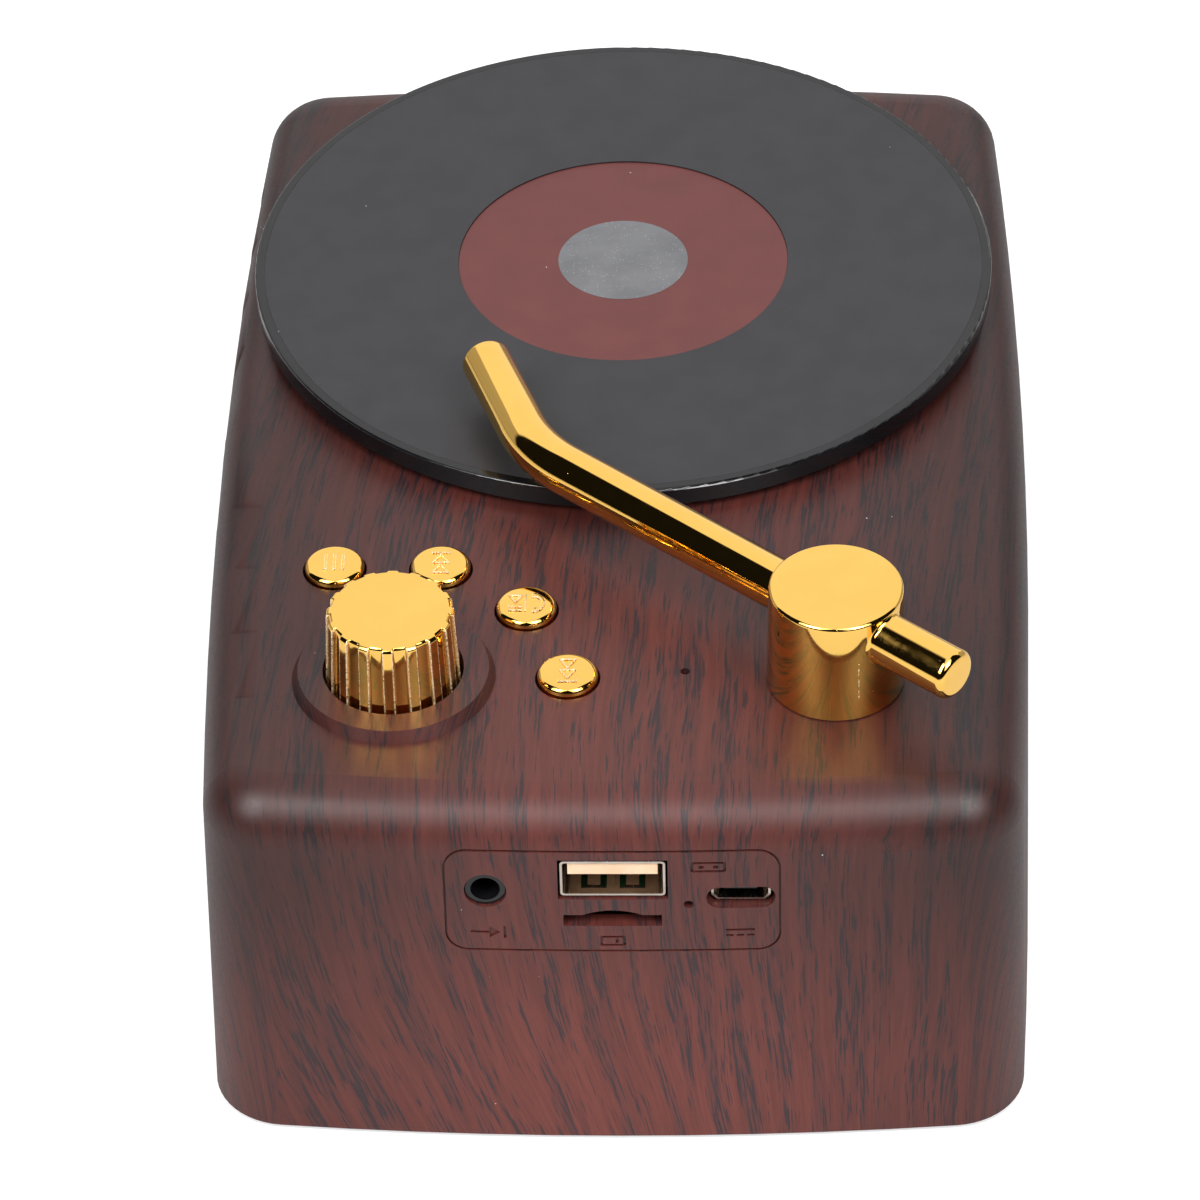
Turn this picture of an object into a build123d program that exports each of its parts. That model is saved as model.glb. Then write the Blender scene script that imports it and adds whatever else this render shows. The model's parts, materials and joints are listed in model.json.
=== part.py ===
from build123d import *
from math import atan2, cos, degrees, hypot, radians, sin
import os

os.makedirs("parts", exist_ok=True)

# Small table loudspeaker in the shape of a record player.
# Frame: +Z up, -Y the face with the sockets, +Y the end under the platter, -X the face
# with the loudspeaker grille. The origin is on the table, below the middle of the casing.

# ---------------------------------------------------------------- driving dimensions, mm
FOOT_DROP = 0.8                 # the feet stand this far below the casing
CASE_WIDTH = 108.9              # at the lower rim, over the crowned sides
CASE_DEPTH = 161.0
CASE_HEIGHT = 53.9
CROWN_X = 2.6                   # how far the long sides bulge
CROWN_Y = 2.76                  # how far the short ends bulge
CORNER_ROUND = 9.8
TOP_ROUND = 6.9
DRAFT_DEG = 1.3
WALL = 2.2
ROOF_WALL = 2.4
FLOOR = CASE_BOTTOM = FOOT_DROP
ROOF = CASE_BOTTOM + CASE_HEIGHT
CEILING = ROOF - ROOF_WALL

BASE_THICK = 2.2
BASE_RISE = 0.6                 # the base plate sits this far inside the lower rim
BASE_GAP = 0.2
CASE_POSTS = [(sx * 43.5, sy * 69.5) for sx in (-1, 1) for sy in (-1, 1)]
FOOT_R = 5.5
FOOT_PLACES = [(sx * 40.0, sy * 56.0) for sx in (-1, 1) for sy in (-1, 1)]

PLATTER_AT = (-0.4, 29.4)
PLATTER_R = 50.0
PLATTER_THICK = 3.0
PLATTER_LIFT = 1.0              # gap between the casing and the platter
FILM_R = 48.7
LABEL_R = 22.4
SPOT_R = 8.8
SPINDLE_R = 2.0
RUNNING = 0.05                  # radial clearance of shafts in bushes

PIVOT_AT = (27.9, -52.7)        # tonearm drum
DRUM_R = 8.45                   # at the top
DRUM_BASE_R = 8.75
DRUM_TALL = 14.9
NECK_R = 4.95
ARM_R = 3.3
ARM_HEIGHT = 10.0               # axis of the arm above the roof
TAIL_HEIGHT = 10.75             # axis of the tail above the roof
ARM_ANGLE = 139.9               # direction of the arm from the drum, degrees
HEAD_ANGLE = 110.1              # direction of the bent head
ARM_REACH = 50.4                # drum axis to the bend's corner
HEAD_REACH = 21.6
BEND_R = 21.0
TAIL_REACH = 19.5
ROD_START = 4.0                 # arm and tail begin this far from the drum's axis

KNOB_AT = (-27.9, -52.7)
KNOB_TOP = 11.1                 # above the roof
KNOB_R = 8.05                   # at the top
KNOB_BASE_R = 8.65
KNOB_FLUTES = 16
BOSS_TALL = 1.5                 # raised ring round the knob
BOSS_R = 12.9
BOSS_TOP_R = 12.1
KNOB_WELL_R = 8.95
SHAFT_R = 3.0

BUTTON_R = 3.85
BUTTON_HOLE_R = 4.15
BUTTON_PROUD = 1.35
BUTTON_PLACES = {
    "mode": (-36.5, -31.6),
    "previous": (-22.8, -31.6),
    "play": (-11.5, -39.8),
    "next": (-5.9, -53.0),
}
MIC_AT = (8.9, -51.7)

FRONT = -CASE_DEPTH / 2         # lower rim of the socket face
PANEL_MID_Z = FLOOR + 40.1
PANEL_SIZE = (42.0, 16.6)
BOARD_TOP = FLOOR + 39.1        # top face of the main circuit board
BOARD_THICK = 1.2
KEY_BOARD_TOP = FLOOR + 45.0    # top face of the board under the buttons
KEY_BOARD_THICK = 1.2

DRIVER_AT = (-49.4, 0.0, FLOOR + 26.0)
DRIVER_R = 20.0
GRILLE_R = 21.5
SCREW_PILOT_R = 1.15
SMALL_PILOT_R = 0.8
POST_FOOT = CASE_BOTTOM + BASE_RISE + BASE_THICK
KEY_POSTS = [(-43.0, -59.0), (-43.0, -26.0), (11.5, -27.0), (11.5, -60.0)]
BOARD_POSTS = [(sx * 26.0, y) for sx in (-1, 1) for y in (-70.0, -44.0)]
BUSH_R = 3.6
BUSH_FOOT = ROOF - 10.5
CLIP_Z = BUSH_FOOT - 1.4
RECORD_TOP = ROOF + PLATTER_LIFT + PLATTER_THICK

# centres of the sockets on their face, as (x, z), and how far each stands back
JACK_AT = (-15.8, FLOOR + 41.7)
USB_AT = (0.1, FLOOR + 43.7)
CHARGE_AT = (16.0, FLOOR + 40.6)
LED_AT = (9.5, FLOOR + 39.6)
LED_R = 0.62
LIGHT_PIPE_R = 0.45
LED_FRONT = FRONT + 1.8         # the light pipe stands back in its hole
CARD_Z = FLOOR + 37.0
JACK_BORE_R = 1.85
USB_FRONT = FRONT + 1.3
JACK_FRONT = FRONT + 1.6
CHARGE_FRONT = FRONT + 2.3
CARD_FRONT = FRONT + 3.6
BOARD_FRONT = FRONT + 4.0

DRIVER_PLACE = Pos(*DRIVER_AT) * Rot(0, -90, 0)
GRILLE_SEAT = 2.4
DRIVER_SCREW_R = 18.8
DRIVER_SCREWS = [
    (DRIVER_SCREW_R * cos(radians(a)), DRIVER_SCREW_R * sin(radians(a))) for a in (45, 135, 225, 315)
]

CELL_R = 9.15
CELL_LONG = 65.0
CELL_AT = (24.0, 22.0)
CELL_Z = POST_FOOT + CELL_R + 1.2

ENCODER_TOP = KEY_BOARD_TOP + 4.6
SWITCH_TOP = KEY_BOARD_TOP + 3.4
ACTUATOR_R = 1.6
ACTUATOR_TOP = SWITCH_TOP + 0.9


# ---------------------------------------------------------------- shared helpers
def disc(radius, low, high, at=(0, 0)):
    """Upright cylinder between two heights."""
    return Pos(at[0], at[1], (low + high) / 2) * Cylinder(radius, high - low)


def ring(outer, inner, low, high, at=(0, 0)):
    """Upright tube between two heights."""
    return disc(outer, low, high, at) - disc(inner, low - 1, high + 1, at)


def block(x_span, y_span, z_span, round_=0.0):
    """Box between two corners, with its upright edges rounded."""
    size = [high - low for low, high in (x_span, y_span, z_span)]
    middle = [(high + low) / 2 for low, high in (x_span, y_span, z_span)]
    solid = Pos(*middle) * Box(*size)
    return fillet(solid.edges().filter_by(Axis.Z), round_) if round_ else solid


def turned(*profile):
    """Solid of revolution about Z from (radius, height) points."""
    section = make_face(Polyline(*[(r, 0, z) for r, z in profile], close=True))
    return revolve(section, Axis.Z)


def on_front(sketch, depth, low=FRONT - 1):
    """Prism of a sketch (x across, y up) driven into the socket face along +Y."""
    return Plane((0, low, 0), x_dir=(1, 0, 0), z_dir=(0, -1, 0)) * extrude(sketch, -depth)


def group(*solids):
    """Separate solids kept together in one node."""
    flat = []
    for item in solids:
        flat.extend(item.solids())
    return Compound(children=flat)


def save(name, shape):
    export_step(shape, f"parts/{name}.step")
    print(name, len(shape.solids()), "solid(s)", round(shape.volume, 1), "mm3")
    return shape


def pan_screw(head_r, head_tall, shank_r, length):
    """Pan-head screw along Z, the head's seat at the origin and the shank upwards."""
    head = turned((0, 0), (head_r, 0), (head_r * 0.85, -head_tall), (0, -head_tall))
    slot = block((-head_r * 0.6, head_r * 0.6), (-0.25, 0.25), (-head_tall - 1, -head_tall * 0.45))
    return head + disc(shank_r, 0, length) - slot - Rot(0, 0, 90) * slot


# ---------------------------------------------------------------- casing
def casing_outline(inset):
    """Plan of the casing at its lower rim: four crowned sides with rounded corners."""
    w, d = CASE_WIDTH / 2 - inset, CASE_DEPTH / 2 - inset
    x, y = w - CROWN_X, d - CROWN_Y
    sides = [
        ThreePointArc((-x, -y), (0, -d), (x, -y)),
        ThreePointArc((x, -y), (w, 0), (x, y)),
        ThreePointArc((x, y), (0, d), (-x, y)),
        ThreePointArc((-x, y), (-w, 0), (-x, -y)),
    ]
    face = make_face(sides)
    return fillet(face.vertices(), CORNER_ROUND - inset)


def casing_block(inset, top_drop, round_):
    """The casing's form drawn in by an inset, with its top edge rounded."""
    tall = CASE_HEIGHT - top_drop
    form = Pos(0, 0, CASE_BOTTOM) * extrude(casing_outline(inset), tall, taper=DRAFT_DEG)
    top = form.faces().sort_by(Axis.Z)[-1]
    return fillet(top.edges(), round_)


def engraving(prism, depth=0.35):
    """The part of a prism that lies in the outer skin of the casing."""
    return (prism & OUTER) - casing_block(depth, depth, TOP_ROUND - depth)


def socket_marks():
    """Plain pictograms beside the sockets, as sketches on the socket face."""
    line = 0.34
    arrow = Pos(-15.8, PANEL_MID_Z - 5.2) * (
        Pos(-0.8, 0) * Rectangle(2.4, line)
        + Pos(0.4, 0) * Polygon((0, -0.9), (1.3, 0), (0, 0.9), align=None)
        + Pos(2.3, 0) * Rectangle(line, 2.0)
    )
    card = Pos(0, PANEL_MID_Z - 6.5) * (
        Rectangle(3.2, 1.7) - Rectangle(3.2 - 2 * line, 1.7 - 2 * line)
        + Pos(0.5, 0) * Rectangle(line, 0.8)
    )
    host = Pos(12.0, PANEL_MID_Z + 5.6) * (
        RectangleRounded(4.4, 1.7, 0.3) - RectangleRounded(4.4 - 2 * line, 1.7 - 2 * line, 0.1)
        + Pos(-0.9, 0) * Rectangle(0.6, 0.5)
        + Pos(0.9, 0) * Rectangle(0.6, 0.5)
    )
    dashes = [Pos(dx, -0.45) * Rectangle(0.9, line) for dx in (-1.3, 0, 1.3)]
    power = Pos(15.9, PANEL_MID_Z - 5.3) * (Pos(0, 0.45) * Rectangle(3.6, line) + dashes)
    return arrow + card + host + power


def upper_housing():
    shell = OUTER - casing_block(WALL, ROOF_WALL, TOP_ROUND - ROOF_WALL)
    knob_x, knob_y = KNOB_AT
    shell += Pos(knob_x, knob_y, ROOF) * turned(
        (0, -0.5), (BOSS_R, -0.5), (BOSS_R, 0), (BOSS_TOP_R, BOSS_TALL), (0, BOSS_TALL)
    )
    # posts for the base screws, the button board and the platter bush
    for at in CASE_POSTS:
        shell += disc(3.6, POST_FOOT, CEILING + 0.5, at) & OUTER
        shell -= disc(SCREW_PILOT_R, POST_FOOT - 1, POST_FOOT + 12, at)
    for at in KEY_POSTS:
        shell += disc(2.4, KEY_BOARD_TOP, CEILING + 0.5, at)
        shell -= disc(SMALL_PILOT_R, KEY_BOARD_TOP - 1, KEY_BOARD_TOP + 5, at)
    shell += disc(6.0, BUSH_FOOT, CEILING + 0.5, PLATTER_AT)
    shell -= disc(BUSH_R, BUSH_FOOT - 1, ROOF + 1, PLATTER_AT)
    # loudspeaker seat in the -X wall
    seat = DRIVER_PLACE * disc(DRIVER_R + 1.6, 0, 8)
    shell += seat & OUTER
    shell -= DRIVER_PLACE * disc(DRIVER_R - 2.6, -2, 10)
    shell -= DRIVER_PLACE * disc(GRILLE_R, GRILLE_SEAT, 10)
    for at in DRIVER_SCREWS:
        shell -= DRIVER_PLACE * disc(SMALL_PILOT_R, -1, 2.2, at)
    # openings in the roof
    shell -= disc(KNOB_WELL_R, CEILING - 1, ROOF + 3, KNOB_AT)
    shell -= disc(NECK_R + RUNNING, CEILING - 1, ROOF + 1, PIVOT_AT)
    shell -= disc(0.6, CEILING - 1, ROOF + 1, MIC_AT)
    for at in BUTTON_PLACES.values():
        shell -= disc(BUTTON_HOLE_R, CEILING - 1, ROOF + 1, at)
    # openings and engraving in the socket face
    shell -= on_front(Pos(JACK_AT) * Circle(2.65), 6)
    shell -= on_front(Pos(USB_AT) * Rectangle(13.7, 6.4), 6)
    shell -= on_front(CARD_MOUTH, 6)
    shell -= on_front(Pos(CHARGE_AT) * SlotOverall(8.6, 3.4), 6)
    shell -= on_front(Pos(LED_AT) * Circle(LED_R), 6)
    frame_line = RectangleRounded(*PANEL_SIZE, 2.9)
    frame_line -= RectangleRounded(PANEL_SIZE[0] - 0.6, PANEL_SIZE[1] - 0.6, 2.6)
    shell -= engraving(on_front(Pos(0, PANEL_MID_Z) * frame_line, 6))
    shell -= engraving(on_front(socket_marks(), 6), 0.3)
    return shell


def base_plate():
    low = CASE_BOTTOM + BASE_RISE
    plate = Pos(0, 0, low) * extrude(casing_outline(WALL + BASE_GAP), BASE_THICK)
    for at in CASE_POSTS:
        plate -= disc(1.7, low - 1, low + BASE_THICK + 1, at)
        plate -= disc(3.2, low - 1, low + 1.0, at)
    for at in FOOT_PLACES:
        plate -= disc(FOOT_R + 0.1, low - 1, low + 0.7, at)
    top = low + BASE_THICK
    # posts under the main board
    for at in BOARD_POSTS:
        plate += disc(2.8, top - 0.3, BOARD_TOP - BOARD_THICK, at)
        plate -= disc(SMALL_PILOT_R, BOARD_TOP - BOARD_THICK - 8, BOARD_TOP, at)
    # cradle ribs for the round cell
    x, y = CELL_AT
    for dy in (-24, 24):
        rib = block((x - 12, x + 12), (y + dy - 1, y + dy + 1), (top - 0.3, CELL_Z + 2))
        plate += rib - Pos(x, y, CELL_Z) * Rot(90, 0, 0) * Cylinder(CELL_R + 0.2, CELL_LONG + 10)
    for dy in (-1, 1):
        end = y + dy * (CELL_LONG / 2 + 1.7)
        plate += block((x - 8, x + 8), (end - 1, end + 1), (top - 0.3, CELL_Z + 2))
    return plate


CARD_MOUTH = Pos(0, CARD_Z) * (
    Rectangle(12.3, 1.8) + (Pos(0, -7.6) * Circle(9.3) & Pos(0, 1.2) * Rectangle(10, 2.4))
)
OUTER = casing_block(0, 0, TOP_ROUND)

save("upper_housing", upper_housing())
save("base_plate", base_plate())
feet = [
    Pos(*at, 0) * turned((0, 0), (FOOT_R - 0.6, 0), (FOOT_R, 0.6), (FOOT_R, 2.1), (0, 2.1))
    for at in FOOT_PLACES
]
save("rubber_feet", group(*feet))
save("base_screws", group(*[
    Pos(*at, CASE_BOTTOM + BASE_RISE + 1.0) * pan_screw(2.7, 0.9, SCREW_PILOT_R, 10)
    for at in CASE_POSTS
]))


# ---------------------------------------------------------------- loudspeaker
def speaker_grille():
    """Flat perforated disc let into the -X wall."""
    plate = disc(GRILLE_R - 0.15, GRILLE_SEAT, GRILLE_SEAT + 1.2)
    pitch = 3.1
    holes = []
    for row in range(-6, 7):
        for column in range(-7, 8):
            x = (column + 0.5 * (row % 2)) * pitch
            y = row * pitch * 0.866
            if hypot(x, y) < DRIVER_R - 3.6:
                holes.append(Pos(x, y, GRILLE_SEAT) * Cylinder(1.0, 4))
    return plate - holes


def driver_frame():
    """Pressed basket: flange, sloping wall with four windows, back ring."""
    basket = turned(
        (17.2, -0.6), (DRIVER_R, -0.6), (DRIVER_R, -1.6), (17.6, -1.6), (14.6, -9.2),
        (6.2, -9.2), (6.2, -8.2), (13.8, -8.2), (16.6, -1.6), (17.2, -1.2),
    )
    for turn in (0, 90, 180, 270):
        basket -= Rot(0, 0, turn) * block((11, 20), (-5, 5), (-7.6, -2.6))
    for at in DRIVER_SCREWS:
        basket -= disc(SMALL_PILOT_R + 0.1, -3, 1, at)
    return basket


def driver_cone():
    return turned((5.0, -6.0), (14.9, -1.3), (15.6, -1.3), (15.6, -1.0), (14.8, -1.0), (5.0, -5.6))


def driver_surround():
    """Half-roll between the cone's rim and the flange."""
    roll = Pos(16.2, 0, -0.9) * Rot(90, 0, 0) * (Circle(1.0) - Circle(0.7))
    upper = revolve(roll, Axis.Z) & disc(30, -0.9, 3)
    return upper + ring(17.2, 15.2, -1.0, -0.85)


in_wall = {
    "speaker_grille": speaker_grille(),
    "driver_gasket": ring(DRIVER_R, 17.4, -0.6, 0)
    - [disc(SMALL_PILOT_R + 0.1, -3, 1, at) for at in DRIVER_SCREWS],
    "driver_frame": driver_frame(),
    "driver_surround": driver_surround(),
    "driver_cone": driver_cone(),
    "driver_dust_cap": turned(
        (5.2, -5.5), (5.2, -5.1), (3.6, -4.2), (1.8, -3.8), (0, -3.7), (0, -4.0), (1.7, -4.1),
        (3.4, -4.5), (4.9, -5.3), (4.9, -5.5),
    ),
    "driver_coil": ring(4.95, 4.65, -13.0, -6.1),
    "driver_top_plate": ring(13.5, 5.2, -10.6, -9.2),
    "driver_magnet": ring(15.0, 7.5, -15.6, -10.6),
    "driver_yoke": disc(14.0, -17.6, -15.6) + disc(4.4, -15.6, -9.4),
}
for name, shape in in_wall.items():
    save(name, DRIVER_PLACE * shape)
save("driver_screws", group(*[
    DRIVER_PLACE * Pos(*at, -1.6) * pan_screw(1.15, 0.7, SMALL_PILOT_R, 3.6)
    for at in DRIVER_SCREWS
]))


# ---------------------------------------------------------------- main board and sockets
def board_outline(x_span, y_span, top, thick, holes):
    board = block(x_span, y_span, (top - thick, top), 1.5)
    for at in holes:
        board -= disc(SMALL_PILOT_R + 0.15, top - thick - 1, top + 1, at)
    return board


def socket_box(at, size, wall, y_front, long):
    """Open-fronted metal shell of a socket, lying along Y."""
    tube = extrude(RectangleRounded(*size, 0.5), -long)
    bore = extrude(RectangleRounded(size[0] - 2 * wall, size[1] - 2 * wall, 0.3), -(long - wall))
    place = Plane((at[0], y_front, at[1]), x_dir=(1, 0, 0), z_dir=(0, -1, 0))
    return place * (tube - bore)


def usb_shell():
    x, z = USB_AT
    shell = socket_box(USB_AT, (13.1, 5.7), 0.3, USB_FRONT, 14.0)
    for side in (-1, 1):
        # legs down to the board
        inner, outer = sorted((x + side * 6.25, x + side * 6.55))
        shell += block((inner, outer), (USB_FRONT + 5.0, USB_FRONT + 8.0), (BOARD_TOP, z - 2.0))
    for dx in (-2.4, 2.4):
        # two spring tongues pressed out of the lower wall
        window = block((x + dx - 1.6, x + dx + 1.6), (USB_FRONT + 1.0, USB_FRONT + 7.0), (z - 4, z - 2.4))
        tab = block((x + dx - 0.8, x + dx + 0.8), (USB_FRONT + 1.6, USB_FRONT + 7.2), (z - 2.85, z - 2.55))
        shell = shell - window + tab
    return shell


def audio_jack():
    """Black moulded body with a round nose that the plug enters."""
    x, z = JACK_AT
    body = block((x - 3.0, x + 3.0), (JACK_FRONT + 2.2, JACK_FRONT + 14.2), (BOARD_TOP, z + 2.6))
    nose = on_front(Pos(JACK_AT) * Circle(2.5), 2.3, JACK_FRONT)
    bore = on_front(Pos(JACK_AT) * Circle(JACK_BORE_R), 13.0, JACK_FRONT - 0.5)
    return body + nose - bore


def charge_port():
    """Small charging socket: a shell with two cut lower corners."""
    x, z = CHARGE_AT
    w, h, cut = 3.7, 1.25, 0.8
    outline = Polygon(
        (-w, cut - h), (cut - w, -h), (w - cut, -h), (w, cut - h), (w, h), (-w, h), align=None)
    inner = offset(outline, -0.3, kind=Kind.INTERSECTION)
    place = Plane((x, CHARGE_FRONT, z - 0.05), x_dir=(1, 0, 0), z_dir=(0, -1, 0))
    return place * (extrude(outline, -5.4) - extrude(inner, -5.1))


def card_slot():
    """Flat metal cage of the memory-card socket, hung under the board."""
    top = BOARD_TOP - BOARD_THICK
    cage = block((-7.0, 7.0), (CARD_FRONT, CARD_FRONT + 14.5), (top - 2.1, top))
    return cage - block((-5.7, 5.7), (CARD_FRONT - 1, CARD_FRONT + 13.5), (top - 1.6, top - 0.5))


save("main_board", board_outline((-30, 30), (BOARD_FRONT, -40), BOARD_TOP, BOARD_THICK, BOARD_POSTS))
save("board_screws", group(*[
    Pos(*at, BOARD_TOP) * Rot(180, 0, 0) * pan_screw(1.6, 0.8, SMALL_PILOT_R, 7) for at in BOARD_POSTS
]))
save("usb_shell", usb_shell())
save("usb_tongue", block(
    (USB_AT[0] - 5.6, USB_AT[0] + 5.6),
    (USB_FRONT + 0.3, USB_FRONT + 13.6),
    (USB_AT[1] + 0.5, USB_AT[1] + 2.3),
))
save("audio_jack", audio_jack())
save("charge_port", charge_port())
save("charge_tongue", block(
    (CHARGE_AT[0] - 2.0, CHARGE_AT[0] + 2.0), (CHARGE_FRONT + 0.5, CHARGE_FRONT + 5.1),
    (CHARGE_AT[1] + 0.1, CHARGE_AT[1] + 0.6),
))
save("card_slot", card_slot())
lamp_y = FRONT + 5.6
save("status_lamp", on_front(Pos(LED_AT) * Circle(LIGHT_PIPE_R), lamp_y - LED_FRONT, LED_FRONT)
     + block((LED_AT[0] - 0.8, LED_AT[0] + 0.8), (lamp_y - 0.4, lamp_y + 0.8), (BOARD_TOP, BOARD_TOP + 0.9)))

chips = [
    block((-22, -12), (-58, -48), (BOARD_TOP, BOARD_TOP + 1.4)),       # sound processor
    block((-4, 3), (-56, -49), (BOARD_TOP, BOARD_TOP + 1.4)),          # amplifier
    block((12, 17), (-60, -56), (BOARD_TOP, BOARD_TOP + 1.2)),         # charge controller
]
save("board_chips", group(*chips))
save("board_capacitors", group(*[
    disc(2.0, BOARD_TOP, BOARD_TOP + 3.6, at) for at in ((8, -48), (13, -48), (18, -48))
]))

# ---------------------------------------------------------------- button board
save("button_board", board_outline((-46, 14.5), (-63, -23.5), KEY_BOARD_TOP, KEY_BOARD_THICK, KEY_POSTS))
save("button_board_screws", group(*[
    Pos(*at, KEY_BOARD_TOP - KEY_BOARD_THICK) * pan_screw(1.6, 0.8, SMALL_PILOT_R, 5) for at in KEY_POSTS
]))
switches = []
for x, y in BUTTON_PLACES.values():
    body = block((x - 3, x + 3), (y - 3, y + 3), (KEY_BOARD_TOP, SWITCH_TOP), 0.4)
    switches.append(body - disc(ACTUATOR_R + 0.1, KEY_BOARD_TOP + 0.8, SWITCH_TOP + 1, (x, y)))
save("button_switches", group(*switches))
save("microphone", ring(3.0, 0.6, KEY_BOARD_TOP, CEILING - 0.3, MIC_AT)
     + disc(3.0, KEY_BOARD_TOP, KEY_BOARD_TOP + 3.0, MIC_AT))
encoder = block(
    (KNOB_AT[0] - 5.8, KNOB_AT[0] + 5.8),
    (KNOB_AT[1] - 6, KNOB_AT[1] + 6),
    (KEY_BOARD_TOP, ENCODER_TOP),
    0.8,
)
save("volume_encoder", encoder - disc(SHAFT_R + RUNNING, KEY_BOARD_TOP + 1.0, ENCODER_TOP + 1, KNOB_AT))

# ---------------------------------------------------------------- power
save("battery_cell", Pos(*CELL_AT, CELL_Z) * Rot(90, 0, 0) * (
    Cylinder(CELL_R, CELL_LONG - 1.5) + Pos(0, 0, CELL_LONG / 2 - 0.75) * Cylinder(2.8, 1.5)
))
save("battery_pad", block(
    (CELL_AT[0] - 5, CELL_AT[0] + 5), (CELL_AT[1] - 18, CELL_AT[1] + 18), (POST_FOOT, CELL_Z - CELL_R)
))


def lead_pair(points, radius, gap, bend):
    """Two insulated wires side by side in X along a route of straight runs and arcs."""
    wires = []
    for side in (-gap / 2, gap / 2):
        route = [(x + side, y, z) for x, y, z in points]
        path = FilletPolyline(*route, radius=bend)
        start = Plane(origin=path @ 0, z_dir=path % 0)
        wires.append(sweep(start * Circle(radius), path=path))
    return group(*wires)


BOARD_UNDER = BOARD_TOP - BOARD_THICK
save("battery_leads", lead_pair(
    [(CELL_AT[0], -12.5, CELL_Z + 5), (CELL_AT[0], -20.0, CELL_Z + 5), (CELL_AT[0] - 4, -34.0, 21.0),
     (CELL_AT[0] - 6, -50.0, 22.0), (CELL_AT[0] - 6, -56.0, 27.0), (CELL_AT[0] - 6, -56.0, BOARD_UNDER)],
    0.7, 1.8, 3.0))
save("speaker_leads", lead_pair(
    [(-36.5, -15.5, 22.0), (-34.0, -24.0, 22.0), (-20.0, -34.0, 22.0), (-17.0, -50.0, 23.0),
     (-17.0, -56.0, 28.0), (-17.0, -56.0, BOARD_UNDER)], 0.7, 1.8, 3.0))
ribbon_x = (2.0, 12.0)
ribbon = block(ribbon_x, (-37.0, -36.6), (BOARD_TOP - 4.0, KEY_BOARD_TOP - KEY_BOARD_THICK))
ribbon += block(ribbon_x, (-42.0, -36.6), (BOARD_TOP - 4.0, BOARD_TOP - 3.6))
ribbon += block(ribbon_x, (-42.0, -41.6), (BOARD_TOP - 4.0, BOARD_UNDER))
save("board_ribbon", ribbon)


# ---------------------------------------------------------------- platter
def platter_disc():
    """Glossy disc with shallow seats for the film, the label and the middle spot."""
    low, high = ROOF + PLATTER_LIFT, ROOF + PLATTER_LIFT + PLATTER_THICK
    body = turned((0, low), (PLATTER_R, low), (PLATTER_R, high), (0, high))
    body = fillet(body.edges().filter_by(GeomType.CIRCLE), 0.35)
    body += disc(8.0, ROOF + 0.6, low + 0.1)
    body -= disc(FILM_R, high - 0.15, high + 1)
    body -= disc(LABEL_R, high - 0.4, high + 1)
    body -= disc(SPINDLE_R, ROOF - 1, high - 1.2)
    return Pos(*PLATTER_AT, 0) * body


save("platter_disc", platter_disc())
save("record_film", ring(FILM_R - 0.03, LABEL_R, RECORD_TOP - 0.15, RECORD_TOP, PLATTER_AT))
save("record_label", ring(LABEL_R - 0.05, SPOT_R, RECORD_TOP - 0.4, RECORD_TOP - 0.18, PLATTER_AT))
save("centre_spot", disc(SPOT_R, RECORD_TOP - 0.4, RECORD_TOP - 0.15, PLATTER_AT))
spindle = disc(SPINDLE_R, CLIP_Z - 1.2, RECORD_TOP - 1.2, PLATTER_AT)
save("platter_spindle", spindle - ring(3, SPINDLE_R - 0.5, CLIP_Z, CLIP_Z + 0.6, PLATTER_AT))
clip = ring(4.2, SPINDLE_R - 0.5, CLIP_Z, CLIP_Z + 0.6, PLATTER_AT)
save("spindle_clip", clip - block(
    (PLATTER_AT[0] - 1.1, PLATTER_AT[0] + 1.1), (PLATTER_AT[1] - 6, PLATTER_AT[1]), (CLIP_Z - 1, CLIP_Z + 1)))
bush = ring(BUSH_R, SPINDLE_R + RUNNING, BUSH_FOOT - 0.5, ROOF, PLATTER_AT)
save("spindle_bush", bush + ring(6.0, SPINDLE_R + RUNNING, ROOF, ROOF + 0.5, PLATTER_AT))


# ---------------------------------------------------------------- tonearm
def heading(angle):
    return (cos(radians(angle)), sin(radians(angle)))


def along(start, angle, distance, z):
    dx, dy = heading(angle)
    return (start[0] + distance * dx, start[1] + distance * dy, z)


def tonearm_rod():
    """Round arm from inside the drum to the bent, blunt head."""
    z = ROOF + ARM_HEIGHT
    start = along(PIVOT_AT, ARM_ANGLE, ROD_START, z)
    corner = along(PIVOT_AT, ARM_ANGLE, ARM_REACH, z)
    tip = along(corner, HEAD_ANGLE, HEAD_REACH, z)
    path = FilletPolyline(start, corner, tip, radius=BEND_R)
    rod = sweep(Plane(origin=path @ 0, z_dir=path % 0) * Circle(ARM_R), path=path)
    end = rod.faces().filter_by(GeomType.PLANE).sort_by(Axis.Y)[-1]
    return fillet(end.edges(), 1.3)


def tonearm_tail():
    """Short blunt rod on the far side of the drum."""
    z = ROOF + TAIL_HEIGHT
    dx, dy = heading(ARM_ANGLE + 180)
    start = along(PIVOT_AT, ARM_ANGLE + 180, ROD_START, z)
    long = TAIL_REACH - ROD_START
    rod = Plane(origin=start, z_dir=(dx, dy, 0)) * Pos(0, 0, long / 2) * Cylinder(ARM_R, long)
    end = rod.faces().filter_by(GeomType.PLANE).sort_by(Axis.X)[-1]
    return fillet(end.edges(), 1.0)


def tonearm_drum(arm, tail):
    low = ROOF + 0.15
    high = ROOF + DRUM_TALL
    body = turned((0, low), (DRUM_BASE_R, low), (DRUM_R, high), (0, high))
    body = Pos(*PIVOT_AT, 0) * fillet(body.edges().group_by(Axis.Z)[-1], 0.6)
    body += disc(NECK_R, CEILING - 0.25, low + 0.1, PIVOT_AT)
    body -= disc(1.3, CEILING - 1, CEILING + 6, PIVOT_AT)
    return body - arm - tail


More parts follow.
